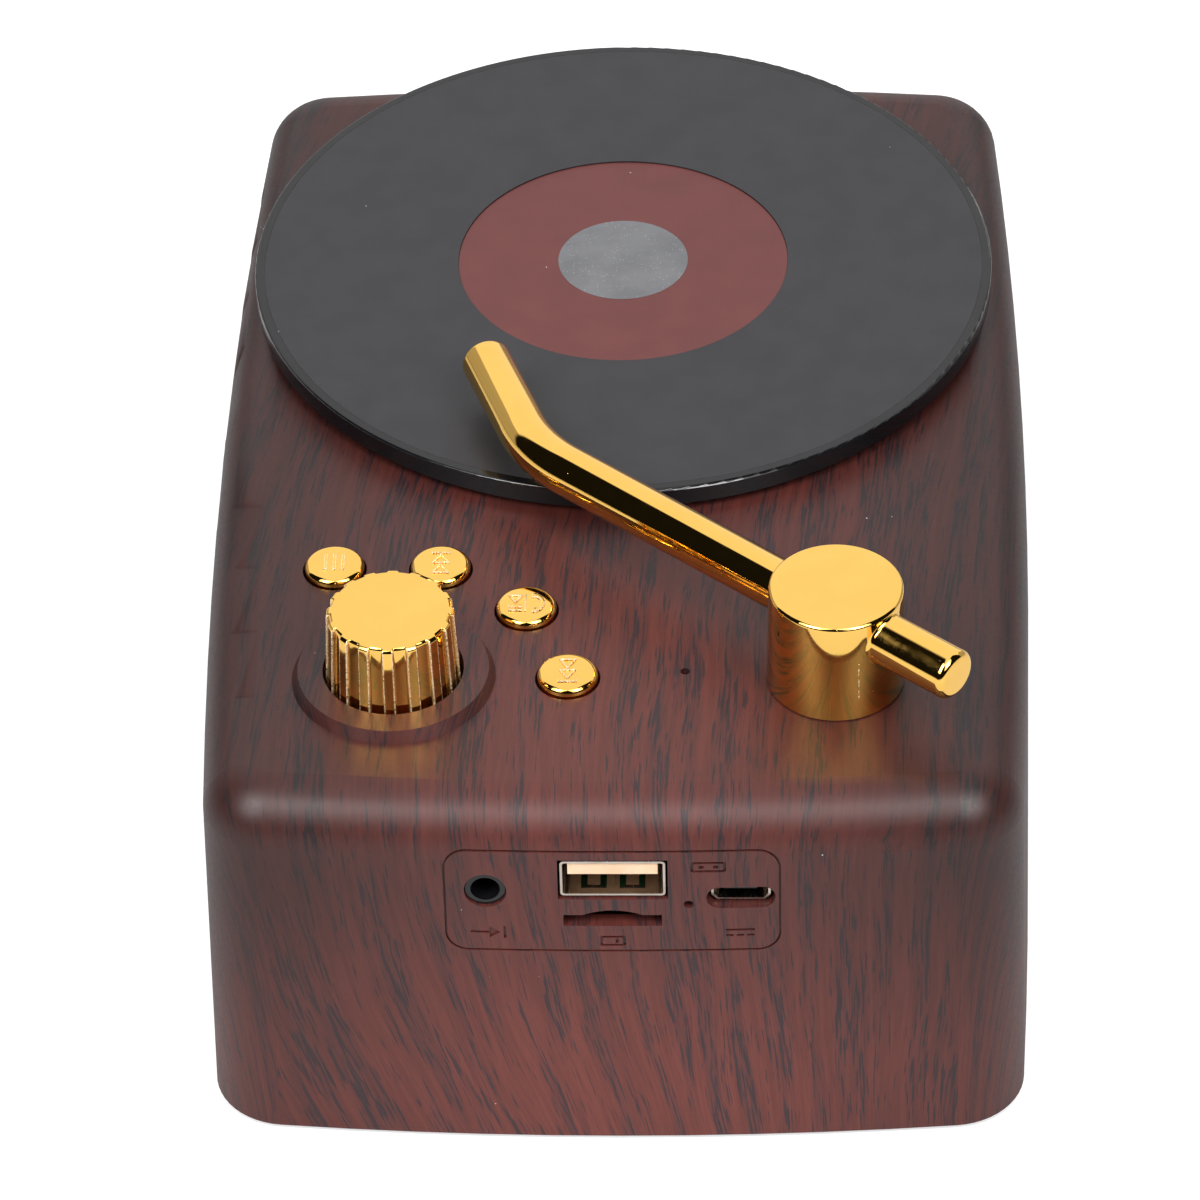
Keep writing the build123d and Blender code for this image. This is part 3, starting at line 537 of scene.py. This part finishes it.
finishes["gloss_black"] = gloss_black()
finishes["film_dark"] = printed_face(
    "matt_record_film", (0.0190, 0.0180, 0.0205, 1), (0.0240, 0.0228, 0.0258, 1), 0.44, 0.22, 0.14)
finishes["label_red"] = printed_face(
    "label_red", (0.104, 0.0235, 0.0215, 1), (0.118, 0.0270, 0.0245, 1), 0.45, 0.25, 0.08)
finishes["spot_grey"] = printed_face(
    "spot_grey", (0.115, 0.116, 0.124, 1), (0.145, 0.146, 0.155, 1), 0.42, 0.20, 0.0, 0.25)

# %% [markdown]
# ### Mouldings, metals and the rest
# The remaining finishes are ordinary: matt black plastic, rubber, bare and plated metal, boards and
# wire. They share two recipes. One is for things that are moulded or painted, one for metal. Each
# takes its own colours, so no two look alike.


# %% Shared recipes
def moulded(name, colour, second, roughness, grain_mm=0.35, depth_mm=0.01, mottle_mm=4.0, **sockets):
    """Plastic, rubber, paper or paint: a mottled colour, a fine grain and uneven gloss."""
    f = Finish(name, **sockets)
    mottle = f.noise(f.millimetres(), mottle_mm, 3.0, 0.6)
    grain = f.noise(f.millimetres(), grain_mm, 2.0, 0.6)
    f.set("Base Color", f.blend(f.between(mottle, 0.3, 0.7), colour, second))
    f.set("Roughness", f.between(grain, 0.3, 0.7, roughness - 0.05, roughness + 0.07))
    f.bump(grain, depth_mm)
    return f.material


def metal(name, colour, second, roughness, brush=(1, 1, 1), depth_mm=0.003):
    """Metal with fine brushed or cast marks; brush stretches the marks along an axis."""
    f = Finish(name, Metallic=1.0)
    marks = f.noise(f.millimetres(stretch=[0.25 * b for b in brush]), 1.0, 3.0, 0.6)
    stain = f.noise(f.millimetres(), 3.0, 3.0)
    f.set("Base Color", f.blend(f.between(stain, 0.35, 0.7), colour, second))
    f.set("Roughness", f.between(marks, 0.3, 0.7, roughness - 0.06, roughness + 0.08))
    f.bump(marks, depth_mm)
    return f.material


finishes.update(
    black_plastic=moulded("black_plastic", (0.012, 0.012, 0.013, 1), (0.020, 0.019, 0.019, 1), 0.5),
    rubber=moulded("soft_rubber", (0.016, 0.016, 0.017, 1), (0.028, 0.027, 0.027, 1), 0.75, 0.2, 0.02),
    foam=moulded("foam", (0.020, 0.020, 0.021, 1), (0.045, 0.044, 0.044, 1), 0.9, 0.4, 0.12),
    cone_paper=moulded("cone_paper", (0.018, 0.018, 0.019, 1), (0.035, 0.034, 0.033, 1), 0.8, 0.3, 0.05),
    chip_black=moulded("chip_black", (0.010, 0.010, 0.011, 1), (0.018, 0.018, 0.019, 1), 0.4, 0.15),
    jack_black=moulded("jack_black", (0.003, 0.003, 0.004, 1), (0.006, 0.006, 0.007, 1), 0.14, 0.3, 0.003),
    magnet=moulded("ferrite_magnet", (0.030, 0.028, 0.028, 1), (0.055, 0.052, 0.050, 1), 0.6, 0.2, 0.03),
    circuit_board=moulded("green_board", (0.010, 0.075, 0.030, 1), (0.016, 0.110, 0.045, 1), 0.35, 0.6),
    cell_wrap=moulded("cell_wrap", (0.030, 0.105, 0.36, 1), (0.045, 0.135, 0.42, 1), 0.3, 1.2),
    wire_insulation=moulded("red_wire", (0.30, 0.018, 0.014, 1), (0.36, 0.026, 0.020, 1), 0.4, 0.3),
    ribbon_grey=moulded("grey_ribbon", (0.28, 0.28, 0.29, 1), (0.36, 0.36, 0.37, 1), 0.5, 0.3),
    lamp_clear=moulded("lamp_lens", (0.035, 0.012, 0.011, 1), (0.060, 0.018, 0.016, 1), 0.15, 0.5, 0.002),
    tongue_cream=moulded("cream_tongue", (0.78, 0.52, 0.33, 1), (0.86, 0.60, 0.40, 1), 0.42, 0.5, 0.004),
    steel=metal("bright_steel", (0.56, 0.56, 0.57, 1), (0.46, 0.46, 0.47, 1), 0.28),
    grille_metal=metal("painted_grille", (0.050, 0.050, 0.053, 1), (0.075, 0.074, 0.076, 1), 0.38),
    socket_steel=metal("tinned_socket", (0.62, 0.56, 0.50, 1), (0.50, 0.43, 0.36, 1), 0.20, (1, 12, 1)),
    coil_copper=metal("coil_copper", (0.83, 0.37, 0.19, 1), (0.72, 0.30, 0.14, 1), 0.3, (0.4, 4, 4)),
    brass=metal("turned_brass", (0.76, 0.53, 0.22, 1), (0.66, 0.44, 0.17, 1), 0.25),
)
print("finishes:", len(finishes))

# %% [markdown]
# ## Shaping helpers
# New pieces are shaped with bmesh operators. A turned piece is a few points spun about an axis; its
# rims are then picked by radius and height and bevelled. Finished meshes go to their place in the
# frame, so the object itself never moves, and each one is told which body it rides on.


# %% Piece helpers
def spun(points, segments=128):
    """Spins (radius, height) points, in millimetres, about the vertical axis."""
    bm = bmesh.new()
    line = [bm.verts.new((radius, 0, height)) for radius, height in points]
    wire = [bm.edges.new(pair) for pair in zip(line, line[1:])]
    bmesh.ops.spin(
        bm, geom=line + wire, cent=(0, 0, 0), axis=(0, 0, 1), angle=2 * math.pi,
        steps=segments, use_merge=True, use_duplicate=False)
    bmesh.ops.remove_doubles(bm, verts=bm.verts, dist=1e-5)
    bmesh.ops.recalc_face_normals(bm, faces=bm.faces)
    return bm


def rim(bm, radius, height, slack=1e-3):
    """The ring of edges at that radius and height."""
    def on_rim(vert):
        return abs(math.hypot(vert.co.x, vert.co.y) - radius) < slack and abs(vert.co.z - height) < slack
    return [e for e in bm.edges if all(on_rim(v) for v in e.verts)]


def soften(bm, edges, radius, segments=6):
    """Rounds edges over with a bevel."""
    return bmesh.ops.bevel(
        bm, geom=edges, offset=radius, offset_type="OFFSET", affect="EDGES",
        segments=segments, profile=0.5, material=-1, clamp_overlap=True)


def grow(bm, ring_edges, shift=(0, 0, 0), scale=1.0, centre=(0, 0, 0)):
    """Extrudes a ring of edges, then moves and scales the new ring. Returns its edges."""
    made = bmesh.ops.extrude_edge_only(bm, edges=ring_edges)["geom"]
    verts = [g for g in made if isinstance(g, bmesh.types.BMVert)]
    bmesh.ops.translate(bm, verts=verts, vec=shift)
    if scale != 1.0:
        about = Matrix.Translation(-(Vector(centre) + Vector(shift)))
        bmesh.ops.scale(bm, verts=verts, vec=(scale, scale, scale), space=about)
    fresh = set(verts)
    return [g for g in made if isinstance(g, bmesh.types.BMEdge) and all(v in fresh for v in g.verts)]


def finish_piece(name, bm, finish, body, stands_for=(), place=Matrix(), sharp_deg=35):
    """Turns a bmesh in millimetres into a smooth-shaded object that rides on a body."""
    bm.transform(Matrix.Scale(MM, 4))
    bm.transform(place)
    bmesh.ops.recalc_face_normals(bm, faces=bm.faces)
    mesh = bpy.data.meshes.new(name)
    bm.to_mesh(mesh)
    bm.free()
    mesh.shade_smooth()
    mesh.set_sharp_from_angle(angle=math.radians(sharp_deg))
    mesh.materials.append(finishes[finish])
    piece = bpy.data.objects.new(name, mesh)
    bpy.context.scene.collection.objects.link(piece)
    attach(piece, body)
    if stands_for:
        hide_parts(*stands_for)
    print(name, "faces:", len(mesh.polygons))
    return piece


def standing_at(joint_name):
    """Placement that stands a piece's own origin on the roof at a joint's axis."""
    return Matrix.Translation(pivot(joint_name))


# %% [markdown]
# ## Volume knob
# A fluted, slightly tapered cap. On a lathe it would be turned first and the flutes milled after. In
# mesh code it is easier to draw the fluted outline once, as a circle whose points are pulled in at
# the flutes, and extrude it upwards ring by ring: up the taper, round the top edge, then in to a flat
# middle. The points beside each ridge are marked for a painted glint.

# %% Knob sizes
knob_low, knob_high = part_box("volume_knob")
KNOB_TOP = (knob_high.z - ROOF) / MM
KNOB_FOOT = (knob_low.z - ROOF) / MM
KNOB_BASE_R = (knob_high.x - knob_low.x) / 2 / MM
KNOB_TOP_R = 8.05
KNOB_FLUTES = 16
KNOB_POINTS = KNOB_FLUTES * 36
RIDGE_SHARE = 0.46            # of each pitch, the rest is flute
FLANK_SHARE = 0.055           # of each pitch, the slope from ridge to flute
FLUTE_DEEP = 0.42
KNOB_EDGE = 0.62
KNOB_EDGE_RINGS = 8
GLINT_INSET, GLINT_SHARE = 0.03, 0.045      # where the painted glint lies on a ridge
print("knob, mm:", round(KNOB_TOP, 2), "tall,", round(KNOB_BASE_R, 2), "base radius")


# %% Knob outline
def flute_depth(angle):
    """How far the outline is pulled in at this angle: 0 on a ridge, 1 in a flute."""
    pitch = 2 * math.pi / KNOB_FLUTES
    ridge_centre = -math.pi / 2
    phase = ((angle - ridge_centre) / pitch + 0.5) % 1.0 - 0.5
    step = (abs(phase) - RIDGE_SHARE / 2 + FLANK_SHARE / 2) / FLANK_SHARE
    step = min(max(step, 0.0), 1.0)
    return step * step * (3 - 2 * step)


def ridge_edge(angle):
    """1 on the shoulder of a ridge, 0 away from it."""
    pitch = 2 * math.pi / KNOB_FLUTES
    phase = abs(((angle + math.pi / 2) / pitch + 0.5) % 1.0 - 0.5)
    return max(0.0, 1.0 - abs(phase - RIDGE_SHARE / 2 + GLINT_INSET) / GLINT_SHARE)


def knob_ring_places(verts, radius, height, depth):
    for vert in verts:
        angle = math.atan2(vert.co.y, vert.co.x)
        r = radius - depth * flute_depth(angle)
        vert.co = Vector((r * math.cos(angle), r * math.sin(angle), height))


def volume_knob():
    bm = bmesh.new()
    start = bmesh.ops.create_circle(bm, cap_ends=False, radius=KNOB_BASE_R, segments=KNOB_POINTS)
    ring_edges = list({e for v in start["verts"] for e in v.link_edges})
    knob_ring_places(start["verts"], KNOB_BASE_R, KNOB_FOOT, FLUTE_DEEP)
    steps = [(KNOB_FOOT + 0.3, 0.0), (KNOB_TOP * 0.5, 0.0), (KNOB_TOP - KNOB_EDGE, 0.0)]
    for k in range(1, KNOB_EDGE_RINGS + 1):
        turn = k / KNOB_EDGE_RINGS * math.pi / 2
        steps.append((KNOB_TOP - KNOB_EDGE * (1 - math.sin(turn)), KNOB_EDGE * (1 - math.cos(turn))))
    for height, inset in steps:
        ring_edges = grow(bm, ring_edges)
        share = (height - KNOB_FOOT) / (KNOB_TOP - KNOB_FOOT)
        radius = KNOB_BASE_R + (KNOB_TOP_R - KNOB_BASE_R) * share - inset
        depth = FLUTE_DEEP * (1.0 - 0.55 * inset / KNOB_EDGE)
        knob_ring_places({v for e in ring_edges for v in e.verts}, radius, height, depth)
    ring_edges = grow(bm, ring_edges, scale=0.93, centre=(0, 0, KNOB_TOP))
    bmesh.ops.contextual_create(bm, geom=ring_edges)
    # painted highlight: the ridge shoulders below the top edge are marked to turn pale
    layer = bm.verts.layers.float.new("painted_glint")
    for vert in bm.verts:
        shoulder = ridge_edge(math.atan2(vert.co.y, vert.co.x))
        low_enough = vert.co.z < KNOB_TOP - 0.2
        vert[layer] = shoulder if low_enough and math.hypot(vert.co.x, vert.co.y) > 7.0 else 0.0
    bmesh.ops.holes_fill(bm, edges=[e for e in bm.edges if e.is_boundary])
    return bm


finish_piece(
    "volume_knob_cap", volume_knob(), "gold_bright_edges", "volume",
    ["volume_knob"], standing_at("volume_turn"), 50)

# %% [markdown]
# ## Tonearm drum
# A plain tapered drum. The top edge is a small round, and a fine parting line runs down the side
# where the two halves of the mould met. The line is a very thin raised bead.

# %% Drum
drum_low, drum_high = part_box("tonearm_drum")
DRUM_TOP = (drum_high.z - ROOF) / MM
DRUM_BASE_R = (drum_high.x - drum_low.x) / 2 / MM
DRUM_TOP_R = 8.45
DRUM_FOOT = 0.15
DRUM_EDGE = 0.55
NECK_R = 4.95
BEAD_R = 0.07
BEAD_HEADING = 19.0           # degrees round from the socket end
BEAD_SPAN = (3.4, 9.0)
BEAD_SUNK = 0.02
BEAD_STEPS = 28
NECK_FOOT = (drum_low.z - ROOF) / MM


def tonearm_drum():
    bm = spun([
        (0, NECK_FOOT), (NECK_R, NECK_FOOT), (NECK_R, DRUM_FOOT), (DRUM_BASE_R, DRUM_FOOT),
        (DRUM_TOP_R, DRUM_TOP), (0, DRUM_TOP)], 160)
    soften(bm, rim(bm, DRUM_TOP_R, DRUM_TOP), DRUM_EDGE, 8)
    soften(bm, rim(bm, DRUM_BASE_R, DRUM_FOOT), 0.12, 2)
    return bm


def bead_thickness(k):
    """Uneven thickness of the bead at step k, about 1."""
    return 1.0 + 0.28 * math.sin(2.6 * k) * math.sin(1.1 * k + 0.4)


def parting_line():
    """A short, thin, slightly uneven bead on the drum's wall, made as a row of merged rings."""
    bm = bmesh.new()
    start = bmesh.ops.create_circle(bm, cap_ends=True, radius=BEAD_R, segments=8)["verts"]
    turn = math.radians(BEAD_HEADING)
    outwards = Vector((math.sin(turn), -math.cos(turn), 0))
    taper = (DRUM_BASE_R - DRUM_TOP_R) / (DRUM_TOP - DRUM_FOOT)
    low, high = BEAD_SPAN
    wall = DRUM_BASE_R - taper * (low - DRUM_FOOT)
    bmesh.ops.translate(bm, verts=start, vec=outwards * (wall - BEAD_SUNK) + Vector((0, 0, low)))
    ring_edges = list(bm.edges)
    step = (high - low) / BEAD_STEPS
    for k in range(BEAD_STEPS):
        centre = outwards * (wall - BEAD_SUNK - taper * step * k) + Vector((0, 0, low + step * k))
        ring_edges = grow(
            bm, ring_edges, Vector((0, 0, step)) - outwards * taper * step,
            bead_thickness(k) / (bead_thickness(k - 1) if k else 1.0), centre)
    bmesh.ops.contextual_create(bm, geom=ring_edges)
    # painted glints: the bead is marked pale in an uneven dotted pattern
    layer = bm.verts.layers.float.new("painted_glint")
    for vert in bm.verts:
        vert[layer] = 0.5 + 0.5 * math.sin(5.3 * vert.co.z) * math.sin(2.1 * vert.co.z)
    return bm


finish_piece(
    "tonearm_drum_cap", tonearm_drum(), "gold_plate", "tonearm",
    ["tonearm_drum"], standing_at("tonearm_swing"))
finish_piece(
    "tonearm_drum_bead", parting_line(), "gold_bright_edges", "tonearm",
    (), standing_at("tonearm_swing"))
print("drum, mm:", round(DRUM_TOP, 2), "tall,", round(DRUM_BASE_R, 2), "base radius")

# %% [markdown]
# ## Tonearm rods
# The arm is a round rod with one bend, and the tail a short one; both leave the drum through a small
# fillet. A circle of edges is extruded for the straight runs and spun about the bend's centre for
# the elbow, which keeps the section truly round. At the drum each point of the first rings is pushed
# along the rod until it meets the drum, so that the fillet hugs the curved wall.

# %% Rod sizes and helpers
ROD_R = 3.3
ARM_HEIGHT = 10.0
TAIL_HEIGHT = 10.75
ARM_DIRECTION = math.radians(139.9)
BEND_TURN = math.radians(-29.8)
BEND_CENTRE_R = 21.0
ARM_REACH = 50.4
HEAD_REACH = 21.6
TAIL_REACH = 19.5
ROD_START = 4.0               # arm and tail begin inside the drum
ARM_END_ROUND, TAIL_END_ROUND = 1.3, 1.0
ROOT_FILLET = 0.45
ROD_POINTS = 72


def rounded_end(bm, ring_edges, middle, heading, radius, rod_radius, steps=8):
    """Rolls a ring over to a flat end that stands radius further along heading."""
    done, shrunk = 0.0, 1.0
    for k in range(1, steps + 1):
        turn = k / steps * math.pi / 2
        reach = radius * math.sin(turn)
        size = (rod_radius - radius * (1 - math.cos(turn))) / rod_radius
        centre = middle + heading * done
        ring_edges = grow(bm, ring_edges, heading * (reach - done), size / shrunk, centre)
        done, shrunk = reach, size
    bmesh.ops.contextual_create(bm, geom=ring_edges)


def rod_root(bm, height):
    """First rings of a rod along +X: one inside the drum, then a fillet that hugs its wall."""
    upright = Matrix.Rotation(math.pi / 2, 4, "Y")
    start = bmesh.ops.create_circle(bm, cap_ends=True, radius=ROD_R, segments=ROD_POINTS, matrix=upright)
    bmesh.ops.translate(bm, verts=start["verts"], vec=(ROD_START, 0, 0))
    ring_edges = [e for e in bm.edges]
    taper = (DRUM_BASE_R - DRUM_TOP_R) / (DRUM_TOP - DRUM_FOOT)
    for k in range(0, 7):
        turn = k / 6 * math.pi / 2
        ring_edges = grow(bm, ring_edges)
        for vert in {v for e in ring_edges for v in e.verts}:
            around = math.atan2(vert.co.z, vert.co.y)
            r = ROD_R + ROOT_FILLET * (1 - math.sin(turn))
            y, z = r * math.cos(around), r * math.sin(around)
            wall = DRUM_BASE_R - taper * (height + z - DRUM_FOOT) - 0.03
            vert.co = Vector((math.sqrt(wall ** 2 - y ** 2) + ROOT_FILLET * (1 - math.cos(turn)), y, z))
    return ring_edges


def straighten(ring_edges, x):
    """Brings a ring to a plane across the rod."""
    for vert in {v for e in ring_edges for v in e.verts}:
        vert.co.x = x


# %% Arm
def tonearm_rod():
    bm = bmesh.new()
    ring_edges = rod_root(bm, ARM_HEIGHT)
    bend_start = ARM_REACH - BEND_CENTRE_R * math.tan(abs(BEND_TURN) / 2)
    ring_edges = grow(bm, ring_edges)
    straighten(ring_edges, bend_start)
    verts = list({v for e in ring_edges for v in e.verts})
    bent = bmesh.ops.spin(
        bm, geom=verts + ring_edges, cent=(bend_start, -BEND_CENTRE_R, 0), axis=(0, 0, 1),
        angle=BEND_TURN, steps=20, use_merge=False, use_duplicate=False)["geom_last"]
    ring_edges = [g for g in bent if isinstance(g, bmesh.types.BMEdge)]
    heading = Vector((math.cos(BEND_TURN), math.sin(BEND_TURN), 0))
    elbow_out = Vector((ARM_REACH, 0, 0)) + heading * (BEND_CENTRE_R * math.tan(abs(BEND_TURN) / 2))
    straight = HEAD_REACH - BEND_CENTRE_R * math.tan(abs(BEND_TURN) / 2) - ARM_END_ROUND
    ring_edges = grow(bm, ring_edges, heading * straight)
    rounded_end(bm, ring_edges, elbow_out + heading * straight, heading, ARM_END_ROUND, ROD_R)
    return bm


def rod_place(height, direction):
    up = Matrix.Translation((0, 0, height * MM))
    return standing_at("tonearm_swing") @ up @ Matrix.Rotation(direction, 4, "Z")


finish_piece(
    "tonearm_bent_rod", tonearm_rod(), "gold_plate", "tonearm",
    ["tonearm_rod"], rod_place(ARM_HEIGHT, ARM_DIRECTION))


# %% Tail
def tonearm_tail():
    bm = bmesh.new()
    ring_edges = grow(bm, rod_root(bm, TAIL_HEIGHT))
    straighten(ring_edges, TAIL_REACH - TAIL_END_ROUND)
    middle = Vector((TAIL_REACH - TAIL_END_ROUND, 0, 0))
    rounded_end(bm, ring_edges, middle, Vector((1, 0, 0)), TAIL_END_ROUND, ROD_R)
    return bm


finish_piece(
    "tonearm_tail_rod", tonearm_tail(), "gold_plate", "tonearm",
    ["tonearm_tail"], rod_place(TAIL_HEIGHT, ARM_DIRECTION + math.pi))

# %% [markdown]
# ## Buttons
# Each button is a low round cap with a soft edge and a raised mark: three bars for the mode, arrows
# and a bar for the tracks, and play, pause and a handset for the last. The cap is spun. A mark is
# drawn flat from triangles, bars and arcs, extruded a little, and its upper edges are bevelled so
# that each line catches the light. The marks read from the grille side, so their right is -Y.

# %% Button cap
BUTTON_EDGE = 0.75
MARK_LINE = 0.36
MARK_PROUD = 0.28
MARK_EDGE = 0.12
MARK_SUNK = 0.1
CAP_DOME = 0.08
CAP_FOOT, FLANGE_TOP = -3.35, -2.5        # below the roof
FLANGE_WIDE = 1.0


def button_cap(radius, top, foot, flange_r, flange_top):
    bm = spun([
        (0, foot), (flange_r, foot), (flange_r, flange_top), (radius, flange_top),
        (radius, top - CAP_DOME), (radius * 0.55, top - CAP_DOME * 0.2), (0, top)], 96)
    soften(bm, rim(bm, radius, top - CAP_DOME), BUTTON_EDGE, 8)
    return bm


# %% Marks
def flat_bar(bm, u, v, width, height):
    made = bmesh.ops.create_grid(bm, x_segments=1, y_segments=1, size=0.5)["verts"]
    bmesh.ops.scale(bm, verts=made, vec=(width, height, 1))
    bmesh.ops.translate(bm, verts=made, vec=(u, v, 0))


def flat_arrow(bm, u, v, size, point):
    """Hollow triangle: a three-sided circle, inset, with its middle taken out."""
    made = bmesh.ops.create_circle(bm, cap_ends=True, radius=size * 0.72, segments=3)["verts"]
    face = made[0].link_faces[0]
    turn = math.atan2(made[0].co.y, made[0].co.x)
    bmesh.ops.rotate(bm, verts=made, matrix=Matrix.Rotation((0 if point > 0 else math.pi) - turn, 3, "Z"))
    bmesh.ops.translate(bm, verts=made, vec=(u, v, 0))
    bmesh.ops.inset_individual(bm, faces=[face], thickness=MARK_LINE, depth=0)
    bmesh.ops.delete(bm, geom=[face], context="FACES")


def flat_arc(bm, u, v, inner, outer, start, sweep, steps=12):
    a = bm.verts.new((u + inner * math.cos(start), v + inner * math.sin(start), 0))
    b = bm.verts.new((u + outer * math.cos(start), v + outer * math.sin(start), 0))
    bmesh.ops.spin(
        bm, geom=[a, b, bm.edges.new((a, b))], cent=(u, v, 0), axis=(0, 0, 1), angle=sweep,
        steps=steps, use_merge=False, use_duplicate=False)


def draw_mark(bm, name):
    if name == "mode":
        for v in (-1.1, 0, 1.1):
            flat_bar(bm, 0, v, 3.0, 0.45)
    elif name == "previous":
        flat_bar(bm, -2.0, 0, 0.45, 2.4)
        flat_arrow(bm, -0.45, 0, 1.8, -1)
        flat_arrow(bm, 1.55, 0, 1.8, -1)
    elif name == "next":
        flat_bar(bm, 2.0, 0, 0.45, 2.4)
        flat_arrow(bm, 0.45, 0, 1.8, 1)
        flat_arrow(bm, -1.55, 0, 1.8, 1)
    else:
        flat_arrow(bm, -1.0, -1.4, 1.5, 1)
        flat_bar(bm, 0.7, -1.4, 0.35, 1.7)
        flat_bar(bm, 1.4, -1.4, 0.35, 1.7)
        flat_bar(bm, 0, -0.1, 3.2, 0.2)
        flat_arc(bm, 0, 0.55, 1.35, 1.85, math.radians(25), math.radians(130))
        flat_bar(bm, -1.45, 1.05, 0.75, 0.65)
        flat_bar(bm, 1.45, 1.05, 0.75, 0.65)


def raised_mark(name, top):
    """The mark as a thin solid on the cap, with bevelled upper edges."""
    bm = bmesh.new()
    draw_mark(bm, name)
    bmesh.ops.recalc_face_normals(bm, faces=bm.faces)
    made = bmesh.ops.extrude_face_region(bm, geom=list(bm.faces))["geom"]
    verts = [g for g in made if isinstance(g, bmesh.types.BMVert)]
    bmesh.ops.translate(bm, verts=verts, vec=(0, 0, MARK_PROUD + MARK_SUNK))
    fresh = set(verts)
    upper = [e for e in bm.edges if all(v in fresh for v in e.verts) and
             len(e.link_faces) == 2 and abs(e.link_faces[0].normal.z - e.link_faces[1].normal.z) > 0.5]
    bmesh.ops.recalc_face_normals(bm, faces=bm.faces)
    soften(bm, upper, MARK_EDGE, 2)
    # painted highlight: the sides and bevelled edges of the mark, not its flat top, are marked to turn
    # pale
    layer = bm.verts.layers.float.new("painted_glint")
    for vert in bm.verts:
        vert[layer] = 1.0 if 0.04 < vert.co.z < MARK_PROUD + MARK_SUNK - 0.005 else 0.0
    upright = Matrix.Translation((0, 0, top - MARK_SUNK)) @ Matrix.Rotation(-math.pi / 2, 4, "Z")
    bmesh.ops.transform(bm, verts=bm.verts, matrix=upright)
    return bm


def joined(first, second):
    """Both meshes in the first bmesh."""
    spare = bpy.data.meshes.new("spare")
    second.to_mesh(spare)
    second.free()
    first.from_mesh(spare)
    bpy.data.meshes.remove(spare)
    return first


# %% The four buttons
for name in ("mode", "previous", "play", "next"):
    low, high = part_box(f"{name}_button")
    middle = (low + high) / 2
    top = (high.z - ROOF) / MM - MARK_PROUD
    flange_r = (high.x - low.x) / 2 / MM
    cap = button_cap(flange_r - FLANGE_WIDE, top, CAP_FOOT, flange_r, FLANGE_TOP)
    cap.verts.layers.float.new("painted_glint")
    whole = joined(cap, raised_mark(name, top - 0.03))
    finish_piece(
        f"{name}_button_cap", whole, "gold_bright_edges", name,
        [f"{name}_button"], Matrix.Translation((middle.x, middle.y, ROOF)))

# %% [markdown]
# ## Dressing the carried-over pieces
# The casing, the platter and everything inside keep their engineering shape, which is exact. Each
# gets the finish that its record slot names.

# %% Dress every node
for name, node in frame["nodes"].items():
    for slot_index, slot in enumerate(node.material_slots):
        slot.material = finishes[node.data.materials[slot_index].name.split(".")[0]]
print("dressed:", len(frame["nodes"]))

# %% Size of the dressed scene
low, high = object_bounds()
print("visual box, mm:", [round((b - a) / MM, 1) for a, b in zip(low, high)])
